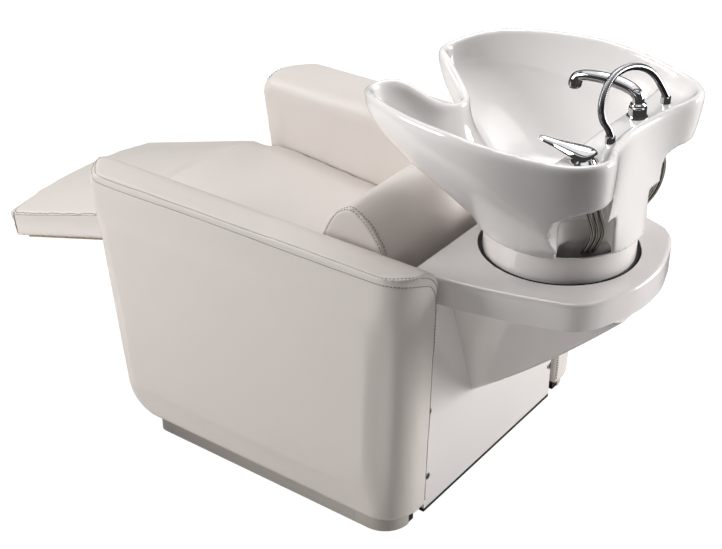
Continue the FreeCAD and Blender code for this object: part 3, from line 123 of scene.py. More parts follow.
# Basin, collar and shelf, in metres
COLLAR_Y = 0.455         # middle of the collar
BOWL_Y = 0.33            # middle of the bowl's hollow
BOWL_FLOOR = 0.64        # the hollow's walls light each other from here up
BOWL_LIGHT = 0.70        # and fully from here
SHADE_WAY = (0.74, 0.56, -0.44)       # the glaze that faces this way lies in shade
SHADE_DEPTH = 0.5        # what is left of the glaze's tone in full shade
INNER_GLOW = 0.13        # glow of the hollow's skin, for the light between its walls
SHELF_HOLE = 0.169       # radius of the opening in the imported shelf
SHELF_LIP = 0.1598       # radius that it is drawn in to
RIM_REACH = 0.0006       # points this near the opening's radius belong to its edge

# Wall behind the hoses: radius and height of its section, and its sweep in degrees
FOOT_SECTION = ((0.110, 0.594), (0.121, 0.594), (0.121, 0.700), (0.110, 0.700))
FOOT_START = 4
FOOT_SWEEP = 82
FOOT_STEPS = 24

# Ring between shelf and collar: radius and height of its section
SEAL_SECTION = ((0.1503, 0.5385), (0.1503, 0.5615), (0.1515, 0.5632), (0.1550, 0.5638),
                (0.1585, 0.5630), (0.1596, 0.5610), (0.1596, 0.5385))
SEAL_STEPS = 96

TRIM_ENDS = (-0.25, 0.42)             # where the plinth's strips are darkest and lightest along Y

# Where the foam is held and where it may swell fully, in metres
ARM_OUTER_BAND = (0.30, 0.37)
ARM_UPPER_BAND = (0.45, 0.56)
ARM_FRONT_BAND = (0.40, 0.47)
ARM_SEAM_BAND = (0.004, 0.10)
ARM_FLOOR_BAND = (0.036, 0.10)
SEAT_SEAM_BAND = (0.004, 0.09)
SEAT_SIDE = 0.262        # the seat meets the arms here
SEAT_SIDE_BAND = (0.0, 0.05)
SEAT_UP_BAND = (0.2, 0.6)             # upward share of the cover's facing
BACK_SEAM_BAND = (0.004, 0.08)
BACK_FLOOR_BAND = (0.34, 0.42)
BACK_SIDE = 0.2585       # half the back cushion's width
BACK_SIDE_BAND = (0.0, 0.03)

FOAM_STEPS = 20          # frames in which the foam settles
SPLINE_STEP = 0.003      # between places on a seam's line
SEAM_REACH = 0.010       # the cover's mesh is finer this near a seam
THREAD_LIFT = 0.0002     # the thread's line above the pressed cover
STITCH_WOBBLE = 0.05     # most that a stitch turns from its row, in radians
LEG_SEAM_DEPTH = 0.0022
LEG_SEAM_WIDTH = 0.0024
# radius of the dark cord painted along the leg rest's seams as their shadow line
LEG_SEAM_SHADOW_RADIUS = 0.0009
LEG_ROW_DROP = 7         # the stitched row below the leg rest's top seam, in millimetres

# Fold over the leg rest's hinge
JOINT_Y = 0.49           # in front of the datum, as are the bridge's ends
JOINT_REACH = 0.035
BRIDGE_ENDS = (0.530, 0.455)
BRIDGE_HALF = 0.243
BRIDGE_STEPS = 16
BRIDGE_TOP = 0.4255
BRIDGE_BASE = 0.36
BRIDGE_CROWN = 0.022
BRIDGE_ROUND = 0.25      # half width at which the crown would reach the edge's height

# Hand shower: heights that its parts end at, their radii, and the handle's radii along its line
HOSE_TOP = 0.8090
SHANK_TOP = 0.8586
RING_TOP = 0.8650
HOSE_RADIUS = 0.0058
HOSE_RIB = 0.0005
SHANK_RADIUS = 0.0088
RING_RADIUS = 0.0150
UPRIGHT_SHARE = 0.6      # share of the line up to which the heights count
HANDLE_SHARES = (0.5, 0.65, 0.83, 0.92, 0.95, 1.0)
HANDLE_RADII = (0.0112, 0.0125, 0.0110, 0.0105, 0.0128, 0.0128)
HANDLE_STEP = 0.0015

# Middle line of the hand shower in millimetres, from the hose under its shank to its face
HANDLE_ROUTE = [
    (-72, 558, 716), (-72, 558, 750), (-72, 558, 785), (-72, 558, 809), (-72, 558, 835),
    (-72, 558, 860), (-72, 557, 878), (-72, 545, 890), (-72, 512, 897), (-72, 474, 897),
    (-72, 440, 893), (-72, 425, 884), (-72, 424, 868)]

# Hose routes in millimetres, as the part's source gives them
LOOP_ROUTE = [
    (62, 572, 852), (80, 575, 876), (118, 580, 905), (136, 583, 946), (110, 584, 984),
    (50, 584, 984), (-15, 583, 963), (-75, 580, 930), (-130, 576, 882), (-160, 573, 852)]
SUPPLY_ROUTE = [
    (132, 568, 822), (132, 568, 792), (143, 592, 738), (120, 595, 690), (98, 576, 650),
    (54, 538, 592)]
SUPPLY_SPREAD = (math.cos(math.radians(35)), -math.sin(math.radians(35)), 0)
SUPPLY_GAP = 11.0        # from one hose to the next
LOOP_RADIUS = 0.0063
LOOP_SWELL = (0.0, 0.0004, 0.0, -0.0006)      # over one rib
BRAID_RADIUS = 0.0042
BRAID_RISE = 0.0004      # of a wire over the hose
BRAID_STEP = 0.0011
BRAID_LAY = 0.40         # length in which a wire goes a third of the way round
WIRE_PAIRS = 3
CROSS_TURNS = 24         # how much faster the wires under them go round, the other way


# What a user may change

def colour(name, text, value):
    return bpy.props.FloatVectorProperty(name=name, description=text, subtype="COLOR", size=3,
                                         min=0.0, max=1.0, default=value)


def length(name, text, value):
    return bpy.props.FloatProperty(name=name, description=text, default=value, min=0.0,
                                   unit="LENGTH", precision=5)


class WashBedColours(bpy.types.PropertyGroup):
    """Colours of the finishes, as linear values."""
    leather: colour("Leather", "Off-white upholstery", (0.71, 0.66, 0.625))
    thread: colour("Thread", "Grey top-stitching", (0.07, 0.06, 0.055))
    # painted shade: a dark cord along a closed seam stands for the shadow in its crease
    seam: colour("Seam", "Shaded line of a closed seam", (0.30, 0.26, 0.24))
    moulding: colour("Moulding", "Glossy white plastic", (0.83, 0.79, 0.775))
    ceramic: colour("Ceramic", "Glaze of the basin", (0.91, 0.885, 0.87))
    chrome: colour("Chrome", "Polished fittings", (0.80, 0.80, 0.81))
    hose_steel: colour("Hose steel", "Dark steel of the ribbed hose", (0.30, 0.30, 0.31))
    trim: colour("Plinth trim", "Brushed metal of the plinth", (0.66, 0.61, 0.57))
    zinc: colour("Zinc", "Plated screws and shafts", (0.58, 0.59, 0.60))
    frame_paint: colour("Frame paint", "Powder coat of the steel frame", (0.03, 0.03, 0.033))
    rubber: colour("Rubber", "Black ring and feet", (0.012, 0.012, 0.012))
    plywood: colour("Plywood", "Boards under the upholstery", (0.55, 0.38, 0.22))
    braid: colour("Braid", "Wires of the braided hoses", (0.34, 0.31, 0.27))


class WashBedSizes(bpy.types.PropertyGroup):
    """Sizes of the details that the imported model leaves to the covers."""
    voxel: length("Cover mesh", "Grid of the cover meshes", 0.006)
    glaze: length("Glaze mesh", "Grid of the basin's glazed skin", 0.0042)
    rise: length("Foam rise", "Most that a padded panel swells", 0.004)
    seam_depth: length("Seam depth", "How far a stitched row presses into the foam", 0.0012)
    seam_width: length("Seam width", "Half width of the pressed channel", 0.0026)
    stitch_pitch: length("Stitch pitch", "Distance from one stitch to the next", 0.0072)
    stitch_length: length("Stitch length", "Visible length of one stitch", 0.0046)
    thread_radius: length("Thread radius", "Radius of the sewing thread", 0.0009)
    rib_pitch: length("Hose rib pitch", "Distance between the ribs of the metal hose", 0.0034)
    pressure: bpy.props.FloatProperty(name="Foam pressure", description="Pressure inside a cover",
                                      default=4.0, min=0.0)


def colours():
    return bpy.context.scene.wash_bed_colours


def sizes():
    return bpy.context.scene.wash_bed_sizes


# Materials

def new_material(name):
    made = bpy.data.materials.new(name)
    made.use_nodes = True
    made.node_tree.nodes.clear()
    output = made.node_tree.nodes.new("ShaderNodeOutputMaterial")
    shader = made.node_tree.nodes.new("ShaderNodeBsdfPrincipled")
    made.node_tree.links.new(shader.outputs["BSDF"], output.inputs["Surface"])
    return made, made.node_tree, shader


def add(tree, kind, sockets=None, **settings):
    """A new node with its settings and its unlinked or linked inputs."""
    made = tree.nodes.new(kind)
    for name, value in settings.items():
        setattr(made, name, value)
    for name, value in (sockets or {}).items():
        if isinstance(value, bpy.types.NodeSocket):
            tree.links.new(value, made.inputs[name])
        else:
            made.inputs[name].default_value = value
    return made


def tinted(tree, tone, dark, light, factor):
    """A colour that drifts between a darker and a lighter tone of one base."""
    low = [channel * dark for channel in tone] + [1.0]
    high = [min(1.0, channel * light) for channel in tone] + [1.0]
    return mixed(tree, factor, low, high)


def mixed(tree, share, first, second):
    return add(tree, "ShaderNodeMix", {0: share, 6: first, 7: second}, data_type="RGBA").outputs[2]


def spread(tree, factor, low, high, start=0.0, end=1.0):
    return add(tree, "ShaderNodeMapRange", {"Value": factor, "From Min": start, "From Max": end,
                                            "To Min": low, "To Max": high}).outputs[0]


def calculated(tree, first, second, kind):
    return add(tree, "ShaderNodeMath", {0: first, 1: second}, operation=kind).outputs[0]


def object_place(tree):
    return add(tree, "ShaderNodeTexCoord").outputs["Object"]


def point_value(tree, name):
    return add(tree, "ShaderNodeAttribute", attribute_name=name).outputs["Fac"]


def object_noise(tree, scale, detail=3.0, stretch=(1.0, 1.0, 1.0)):
    sized = add(tree, "ShaderNodeMapping", {"Vector": object_place(tree), "Scale": stretch})
    return add(tree, "ShaderNodeTexNoise", {"Vector": sized.outputs[0], "Scale": scale,
                                            "Detail": detail}).outputs[0]


def bump(tree, height, strength, distance, below=None):
    sockets = {"Height": height, "Strength": strength, "Distance": distance}
    if below is not None:
        sockets["Normal"] = below
    return add(tree, "ShaderNodeBump", sockets).outputs[0]


def set_shader(tree, shader, **values):
    """The shader's inputs, linked or set."""
    for name, value in values.items():
        taken = shader.inputs[name.replace("_", " ")]
        if isinstance(value, bpy.types.NodeSocket):
            tree.links.new(value, taken)
        else:
            taken.default_value = value


def leather():
    made, tree, shader = new_material("off_white_leather")
    drift = object_noise(tree, 5.0, 4.0)
    pebble = add(tree, "ShaderNodeTexVoronoi", {"Vector": object_place(tree), "Scale": 620.0},
                 feature="SMOOTH_F1")
    pores = object_noise(tree, 1500.0, 2.0)
    slack = object_noise(tree, 16.0, stretch=(1.0, 0.6, 1.0))
    soft = bump(tree, slack, 0.10, 0.004)
    grain = bump(tree, pebble.outputs["Distance"], 0.16, 0.0004, soft)
    set_shader(tree, shader, Base_Color=tinted(tree, colours().leather, 0.97, 1.02, drift),
               Normal=bump(tree, pores, 0.08, 0.0002, grain),
               Roughness=spread(tree, object_noise(tree, 40.0), 0.40, 0.52),
               Sheen_Weight=0.06, Sheen_Roughness=0.5)
    return made


def thread(name, tone):
    made, tree, shader = new_material(name)
    twist = add(tree, "ShaderNodeTexWave", {"Vector": object_place(tree), "Scale": 420.0,
                                            "Distortion": 1.0}, bands_direction="DIAGONAL")
    strands = twist.outputs["Fac"]
    set_shader(tree, shader, Base_Color=tinted(tree, tone, 0.8, 1.15, strands),
               Normal=bump(tree, strands, 0.4, 0.0002), Roughness=0.7)
    return made


def moulding():
    made, tree, shader = new_material("white_moulding")
    set_shader(tree, shader,
               Base_Color=tinted(tree, colours().moulding, 0.985, 1.01, object_noise(tree, 6.0)),
               Normal=bump(tree, object_noise(tree, 240.0, 2.0), 0.05, 0.0004),
               Roughness=spread(tree, object_noise(tree, 14.0), 0.14, 0.2),
               Coat_Weight=0.5, Coat_Roughness=0.06)
    return made


def ceramic():
    """Glaze, darker where the piece is marked as shaded and lit where it is marked as inside."""
    made, tree, shader = new_material("glazed_ceramic")
    lit = tinted(tree, colours().ceramic, 0.985, 1.01, object_noise(tree, 5.0))
    deep = [channel * SHADE_DEPTH for channel in colours().ceramic] + [1.0]
    set_shader(tree, shader, Base_Color=mixed(tree, point_value(tree, "shade"), lit, deep),
               Emission_Strength=spread(tree, point_value(tree, "inner"), 0.0, INNER_GLOW),
               Normal=bump(tree, object_noise(tree, 18.0, 2.0), 0.04, 0.002),
               Roughness=spread(tree, object_noise(tree, 10.0), 0.16, 0.24),
               Coat_Weight=0.6, Coat_Roughness=0.08)
    return made


def chrome():
    made, tree, shader = new_material("polished_chrome")
    set_shader(tree, shader,
               Base_Color=tinted(tree, colours().chrome, 0.96, 1.0, object_noise(tree, 30.0)),
               Roughness=spread(tree, object_noise(tree, 60.0), 0.03, 0.07), Metallic=1.0)
    return made


def brushed(name, tone, low, high, stretch, strength=0.25):
    made, tree, shader = new_material(name)
    lines = object_noise(tree, 60.0, 5.0, stretch)
    set_shader(tree, shader, Base_Color=tinted(tree, tone, 0.8, 1.15, lines),
               Normal=bump(tree, lines, strength, 0.0002), Roughness=spread(tree, lines, low, high),
               Metallic=1.0)
    return made


def trim():
    """Brushed strip that catches more light towards the rear corner."""
    made, tree, shader = new_material("brushed_trim")
    along = add(tree, "ShaderNodeSeparateXYZ", {0: object_place(tree)}).outputs["Y"]
    share = spread(tree, along, 0.0, 1.0, *TRIM_ENDS)
    lines = object_noise(tree, 60.0, 5.0, (1, 0.03, 6))
    dark = tinted(tree, colours().trim, 0.52, 0.66, lines)
    light = tinted(tree, colours().trim, 1.2, 1.45, lines)
    set_shader(tree, shader, Base_Color=mixed(tree, share, dark, light),
               Normal=bump(tree, lines, 0.25, 0.0002), Roughness=spread(tree, lines, 0.28, 0.42),
               Metallic=0.45)
    return made


def dull(name, tone, low, high, strength=0.2, mirror=0.5):
    """A matt, finely textured plastic, rubber or powder coat."""
    made, tree, shader = new_material(name)
    fleck = object_noise(tree, 300.0)
    set_shader(tree, shader, Base_Color=tinted(tree, tone, 0.85, 1.15, fleck),
               Normal=bump(tree, fleck, strength, 0.0003),
               Roughness=spread(tree, object_noise(tree, 25.0), low, high),
               Specular_IOR_Level=mirror)
    return made


def plywood():
    made, tree, shader = new_material("birch_plywood")
    grain = object_noise(tree, 30.0, 6.0, (0.4, 0.08, 1.0))
    set_shader(tree, shader, Base_Color=tinted(tree, colours().plywood, 0.75, 1.15, grain),
               Normal=bump(tree, grain, 0.2, 0.0004), Roughness=0.65)
    return made


def braid():
    """Woven wires on a hose: the piece's own map runs round and along it."""
    made, tree, shader = new_material("braided_wire")
    weave = point_value(tree, "weave")
    set_shader(tree, shader, Base_Color=tinted(tree, colours().braid, 0.04, 1.5, weave),
               Roughness=spread(tree, weave, 0.6, 0.3),
               Normal=bump(tree, object_noise(tree, 700.0, 2.0), 0.2, 0.0002), Metallic=0.35)
    return made


def finishes():
    """Every material of the object by its slot, made once."""
    if "by_slot" not in finishes.__dict__:
        tones = colours()
        finishes.by_slot = {
            "upholstery": leather(),
            "plywood": plywood(),
            "frame_steel": dull("powder_coat", tones.frame_paint, 0.38, 0.5),
            "zinc_steel": brushed("zinc_plate", tones.zinc, 0.25, 0.4, (1, 1, 1)),
            "plinth_metal": trim(),
            "plinth_block": dull("black_block", tones.rubber, 0.6, 0.75),
            "moulding": moulding(),
            "ceramic": ceramic(),
            "chrome": chrome(),
            "hose_steel": brushed("hose_steel", tones.hose_steel, 0.12, 0.22, (1, 1, 1), 0.05),
            "rubber": dull("black_rubber", tones.rubber, 0.16, 0.26, strength=0.05, mirror=0.12),
            "black_plastic": dull("black_plastic", tones.rubber, 0.35, 0.5),
            "braid": braid(),
            "thread": thread("grey_thread", tones.thread),
            # painted shade of a closed seam's crease
            "seam": thread("seam_shade", tones.seam),
        }
    return finishes.by_slot


# Meshes

def metres(points, mirror=1):
    return [Vector((x * mirror, y + 1000 * DATUM, z)) / 1000 for x, y, z in points]


def linked(name, data):
    made = bpy.data.objects.new(name, data)
    bpy.context.scene.collection.objects.link(made)
    return made


def dress(piece, finish):
    piece.data.materials.clear()
    piece.data.materials.append(finishes()[finish])


def new_object(name, mesh, finish=None):
    made = linked(name, mesh)
    if finish is not None:
        dress(made, finish)
    mesh.polygons.foreach_set("use_smooth", [True] * len(mesh.polygons))
    mesh.update()
    return made


def applied(piece):
    """The piece with its modifiers made into its mesh."""
    graph = bpy.context.evaluated_depsgraph_get()
    mesh = bpy.data.meshes.new_from_object(piece.evaluated_get(graph))
    old = piece.data
    piece.modifiers.clear()
    piece.data = mesh
    bpy.data.meshes.remove(old)
    return piece


def node_form(nodes):
    """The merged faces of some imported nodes, as one bmesh."""
    form = bmesh.new()
    for name in nodes:
        form.from_mesh(frame["nodes"][name].data)
    bmesh.ops.remove_doubles(form, verts=form.verts, dist=2e-5)
    return form


def remeshed(name, form, voxel):
    mesh = bpy.data.meshes.new(name)
    form.to_mesh(mesh)
    form.free()
    piece = new_object(name, mesh)
    remesh = piece.modifiers.new("grid", "REMESH")
    remesh.mode = "VOXEL"
    remesh.voxel_size = voxel
    remesh.use_smooth_shade = True
    return applied(piece)


def coordinates(mesh):
    flat = np.empty(len(mesh.vertices) * 3, np.float32)
    mesh.vertices.foreach_get("co", flat)
    return flat.reshape(-1, 3).astype(float)


def normals_of(mesh):
    flat = np.empty(len(mesh.vertices) * 3, np.float32)
    mesh.vertices.foreach_get("normal", flat)
    return flat.reshape(-1, 3)


def set_coordinates(mesh, points):
    mesh.vertices.foreach_set("co", np.asarray(points, np.float32).ravel())
    mesh.update()


def relaxed(piece, rounds):
    smooth = piece.modifiers.new("relax", "SMOOTH")
    smooth.factor = 0.5
    smooth.iterations = rounds
    return applied(piece)


def distance_to(points, route):
    """Distance of every point from the nearest place on a route."""
    tree = KDTree(len(route))
    for i, place in enumerate(route):
        tree.insert(place, i)
    tree.balance()
    return np.array([tree.find(point)[2] for point in points])


def eased(values, low, high):
    """A smooth rise from 0 at the lower value to 1 at the higher one."""
    share = np.clip((values - low) / (high - low), 0.0, 1.0)
    return share * share * (3 - 2 * share)


def inflated(piece, free, rise):
    """The cover swollen by its foam: points move only as far as they are free."""
    held = piece.vertex_groups.new(name="held")
    for i, share in enumerate(free):
        held.add([i], float(1.0 - share), "REPLACE")
    start = coordinates(piece.data)
    cloth = piece.modifiers.new("foam", "CLOTH")
    settings = cloth.settings
    settings.quality = 4
    settings.mass = 0.4
    settings.tension_stiffness = 12
    settings.compression_stiffness = 12
    settings.bending_stiffness = 4
    settings.use_pressure = True
    settings.uniform_pressure_force = sizes().pressure
    settings.vertex_group_mass = "held"
    settings.effector_weights.gravity = 0.0
    cloth.point_cache.frame_end = FOAM_STEPS
    for step in range(1, FOAM_STEPS + 1):
        bpy.context.scene.frame_set(step)
    graph = bpy.context.evaluated_depsgraph_get()
    swollen = coordinates(piece.evaluated_get(graph).data)
    piece.modifiers.clear()
    piece.vertex_groups.clear()
    bpy.context.scene.frame_set(1)
    move = swollen - start
    reach = np.linalg.norm(move, axis=1)
    share = np.minimum(1.0, rise / np.maximum(reach, 1e-9)) * free
    set_coordinates(piece.data, start + move * share[:, None])
    return piece


def spline(points):
    """Places at even steps on a smooth line through some points."""
    line = []
    count = len(points)
    for i in range(count - 1):
        before = points[max(0, i - 1)]
        first, second = points[i], points[i + 1]
        after = points[min(count - 1, i + 2)]
        pieces = max(1, round((second - first).length / SPLINE_STEP))
        for k in range(pieces):
            t = k / pieces
            line.append(0.5 * ((2 * first) + (second - before) * t
                               + (2 * before - 5 * first + 4 * second - after) * t ** 2
                               + (3 * first - before - 3 * second + after) * t ** 3))
    line.append(points[-1].copy())
    return line


def surface_of(piece):
    form = bmesh.new()
    form.from_mesh(piece.data)
    tree = BVHTree.FromBMesh(form)
    form.free()
    return tree


def laid_on(surface, points, lift=0.0):
    """A smooth line through some points, laid on a surface."""
    line = []
    for place in spline(points):
        spot, normal = surface.find_nearest(place)[:2]
        line.append(spot + normal * lift)
    for _ in range(3):
        line = [line[0]] + [(line[i - 1] + line[i] * 2 + line[i + 1]) / 4
                            for i in range(1, len(line) - 1)] + [line[-1]]
    return line


def refined(piece, route, reach):
    """Smaller faces along a route, and once more close to it, so that a seam can press in."""
    form = bmesh.new()
    form.from_mesh(piece.data)
    for turn in range(2):
        gap = distance_to([v.co for v in form.verts], route)
        near = {v.index for v in form.verts if gap[v.index] < reach * (1.0 - 0.35 * turn)}
        edges = [e for e in form.edges if e.verts[0].index in near and e.verts[1].index in near]
        bmesh.ops.subdivide_edges(form, edges=edges, cuts=1, use_grid_fill=True)
        form.verts.index_update()
    mesh = piece.data
    form.to_mesh(mesh)
    form.free()
    mesh.update()
    return piece


def pressed(piece, route, depth, width):
    """A sewn channel pressed into a cover along a route."""
    points = coordinates(piece.data)
    gap = distance_to(points, route)
    push = depth * np.exp(-(gap / width) ** 2)
    set_coordinates(piece.data, points - normals_of(piece.data) * push[:, None])
    return piece


def route_mesh(name, routes):
    """Several lines as one mesh of edges."""
    places = []
    edges = []
    for route in routes:
        first = len(places)
        places += [tuple(place) for place in route]
        edges += [(first + i, first + i + 1) for i in range(len(route) - 1)]
    mesh = bpy.data.meshes.new(name)
    mesh.from_pydata(places, edges, [])
    return mesh


# Geometry node trees

def new_tree(name, **lengths):
    """A tree from a mesh of lines to a mesh, with named lengths and a material."""
    tree = bpy.data.node_groups.new(name, "GeometryNodeTree")
    new_socket = tree.interface.new_socket
    new_socket("Geometry", in_out="INPUT", socket_type="NodeSocketGeometry")
    for title, value in lengths.items():
        new_socket(title, in_out="INPUT", socket_type="NodeSocketFloat").default_value = value
    new_socket("Material", in_out="INPUT", socket_type="NodeSocketMaterial")
    new_socket("Geometry", in_out="OUTPUT", socket_type="NodeSocketGeometry")
    inlet = tree.nodes.new("NodeGroupInput").outputs
    line = add(tree, "GeometryNodeMeshToCurve", {"Mesh": inlet["Geometry"]}).outputs[0]
    return tree, inlet, line


def stitch_tree():
    """Stitches at an even pitch along every line of a mesh."""
    tree, inlet, line = new_tree("Stitch row", Pitch=0.006, Length=0.004, Radius=0.0006)
    spaced = add(tree, "GeometryNodeResampleCurve", {"Curve": line, "Length": inlet["Pitch"]},
                 mode="LENGTH")
    ball = add(tree, "GeometryNodeMeshIcoSphere", {"Radius": 1.0, "Subdivisions": 2}).outputs[0]
    half = calculated(tree, inlet["Length"], 0.5, "MULTIPLY")
    thick = inlet["Radius"]
    size = add(tree, "ShaderNodeCombineXYZ", {"X": half, "Y": thick, "Z": thick})
    along = add(tree, "GeometryNodeInputTangent").outputs[0]
    turn = add(tree, "FunctionNodeAlignRotationToVector", {"Vector": along}, axis="X")
    wobble = add(tree, "FunctionNodeRandomValue", {"Seed": 7}, data_type="FLOAT_VECTOR")
    wobble.inputs[0].default_value = [-STITCH_WOBBLE] * 3
    wobble.inputs[1].default_value = [STITCH_WOBBLE] * 3
    uneven = add(tree, "FunctionNodeRotateRotation", {"Rotation": turn.outputs[0],
                                                      "Rotate By": wobble.outputs[0]},
                 rotation_space="LOCAL")
    placed = add(tree, "GeometryNodeInstanceOnPoints",
                 {"Points": spaced.outputs[0], "Instance": ball, "Rotation": uneven.outputs[0],
                  "Scale": size.outputs[0]})
    return closed_tree(tree, placed.outputs[0], inlet["Material"])


def cord_tree():
    """A thin round line along every edge of a mesh, such as the painted shadow line of a closed seam."""
    tree, inlet, line = new_tree("Seam shadow line", Radius=0.0006)
    ring = add(tree, "GeometryNodeCurvePrimitiveCircle", {"Resolution": 6,
                                                          "Radius": inlet["Radius"]})
    round_line = add(tree, "GeometryNodeCurveToMesh", {"Curve": line, "Fill Caps": True,
                                                       "Profile Curve": ring.outputs[0]})
    return closed_tree(tree, round_line.outputs[0], inlet["Material"])


def closed_tree(tree, geometry, material):
    real = add(tree, "GeometryNodeRealizeInstances", {"Geometry": geometry}).outputs[0]
    smooth = add(tree, "GeometryNodeSetShadeSmooth", {"Geometry": real}).outputs[0]
    made = add(tree, "GeometryNodeSetMaterial", {"Geometry": smooth, "Material": material})
    outlet = tree.nodes.new("NodeGroupOutput")
    tree.links.new(made.outputs[0], outlet.inputs[0])
    return tree


def grown(name, mesh, tree, finish, **inputs):
    """A plain mesh that a node tree grows from some lines."""
    piece = linked(name, mesh)
    modifier = piece.modifiers.new("rule", "NODES")
    modifier.node_group = tree
    for item in tree.interface.items_tree:
        if item.in_out != "INPUT":
            continue
        if item.name in inputs:
            modifier[item.identifier] = inputs[item.name]
        if item.name == "Material":
            modifier[item.identifier] = finishes()[finish]
    return applied(piece)


def tree_named(name, make):
    return bpy.data.node_groups.get(name) or make()


def stitched(name, routes, body):
    rows = sizes()
    piece = grown(name, route_mesh(name, routes), tree_named("Stitch row", stitch_tree), "thread",
                  Pitch=rows.stitch_pitch, Length=rows.stitch_length, Radius=rows.thread_radius)
    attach(piece, body)


# painted shadow: a dark cord laid along closed seams stands for the shade in their creases
def seam_shadow_lined(name, routes, body, radius):
    piece = grown(name, route_mesh(name, routes), tree_named("Seam shadow line", cord_tree), "seam",
                  Radius=radius)
    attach(piece, body)


# Hoses

def hose_line(points, name):
    """Even places on the smooth line that a route's points control."""
    curve = bpy.data.curves.new(name, "CURVE")
    curve.dimensions = "3D"
    curve.resolution_u = 24
    route = curve.splines.new("NURBS")
    route.points.add(len(points) - 1)
    for spot, place in zip(route.points, points):
        spot.co = (*place, 1.0)
    route.order_u = 3
    route.use_endpoint_u = True
    holder = linked(name, curve)
    graph = bpy.context.evaluated_depsgraph_get()
    mesh = bpy.data.meshes.new_from_object(holder.evaluated_get(graph))
    line = [Vector(v.co) for v in mesh.vertices]
    bpy.data.meshes.remove(mesh)
    bpy.data.objects.remove(holder)
    bpy.data.curves.remove(curve)
    return line


def even_steps(line, step):
    """Places at even steps along a line, and its whole length."""
    lengths = [0.0]
    for i in range(1, len(line)):
        lengths.append(lengths[-1] + (line[i] - line[i - 1]).length)
    count = max(2, round(lengths[-1] / step))
    places = []
    k = 0
    for i in range(count + 1):
        target = lengths[-1] * i / count
        while k < len(line) - 2 and lengths[k + 1] < target:
            k += 1
        share = (target - lengths[k]) / max(1e-12, lengths[k + 1] - lengths[k])
        places.append(line[k].lerp(line[k + 1], share))
    return places, lengths[-1]


def tube(name, line, sides, radius_at, finish, weave_at=None):
    """A closed tube along a line whose radius may change along and round it."""
    count = len(line)
    tangent = (line[1] - line[0]).normalized()
    side = tangent.orthogonal().normalized()
    points = []
    weave = []
    for i in range(count):
        ahead = (line[min(count - 1, i + 1)] - line[max(0, i - 1)]).normalized()
        side = (side - ahead * side.dot(ahead)).normalized()
        other = ahead.cross(side)
        for k in range(sides):
            angle = 2 * math.pi * k / sides
            reach = radius_at(i, angle)
            points.append(line[i] + (side * math.cos(angle) + other * math.sin(angle)) * reach)
            weave.append(weave_at(i, angle) if weave_at else 1.0)
    faces = []
    for i in range(count - 1):
        for k in range(sides):
            low, next_low = i * sides + k, i * sides + (k + 1) % sides
            faces.append((low, next_low, next_low + sides, low + sides))
    faces.append(tuple(reversed(range(sides))))
    faces.append(tuple(range((count - 1) * sides, count * sides)))
    mesh = bpy.data.meshes.new(name)
    mesh.from_pydata([tuple(p) for p in points], [], faces)
    layer = mesh.attributes.new("weave", "FLOAT", "POINT")
    layer.data.foreach_set("value", weave)
    return new_object(name, mesh, finish)


# Operators

class MakeCamera(bpy.types.Operator):
    """Place the camera where the picture was taken from"""
    bl_idname = "wash_bed.camera"
    bl_label = "Camera"

    def execute(self, context):
        data = bpy.data.cameras.new("camera")
        data.lens = PHOTO_FOCAL * 1000
        data.sensor_width = SENSOR_WIDTH
        data.sensor_fit = "HORIZONTAL"
        camera = linked("camera", data)
        camera.location = CAMERA_PLACE
        camera.rotation_euler = (CAMERA_AIM - CAMERA_PLACE).to_track_quat("-Z", "Y").to_euler()
        context.scene.camera = camera
        return {"FINISHED"}


def lamp(name, place, aim, size, power):
    data = bpy.data.lights.new(name, "AREA")
    data.shape = "RECTANGLE"
    data.size, data.size_y = size
    data.energy = power
    made = linked(name, data)
    made.location = place
    made.rotation_euler = (Vector(aim) - Vector(place)).to_track_quat("-Z", "Y").to_euler()


def seen_rays(tree):
    """One where a ray comes from the camera, from gloss or through glass, and every kind of ray."""
    path = add(tree, "ShaderNodeLightPath").outputs
    first = calculated(tree, path["Is Camera Ray"], path["Is Glossy Ray"], "MAXIMUM")
    return calculated(tree, first, path["Is Transmission Ray"], "MAXIMUM"), path


def blended_output(tree, share, first, second, kind):
    both = add(tree, "ShaderNodeMixShader", {0: share, 1: first.outputs[0], 2: second.outputs[0]})
    output = tree.nodes.new(kind)
    tree.links.new(both.outputs[0], output.inputs["Surface"])


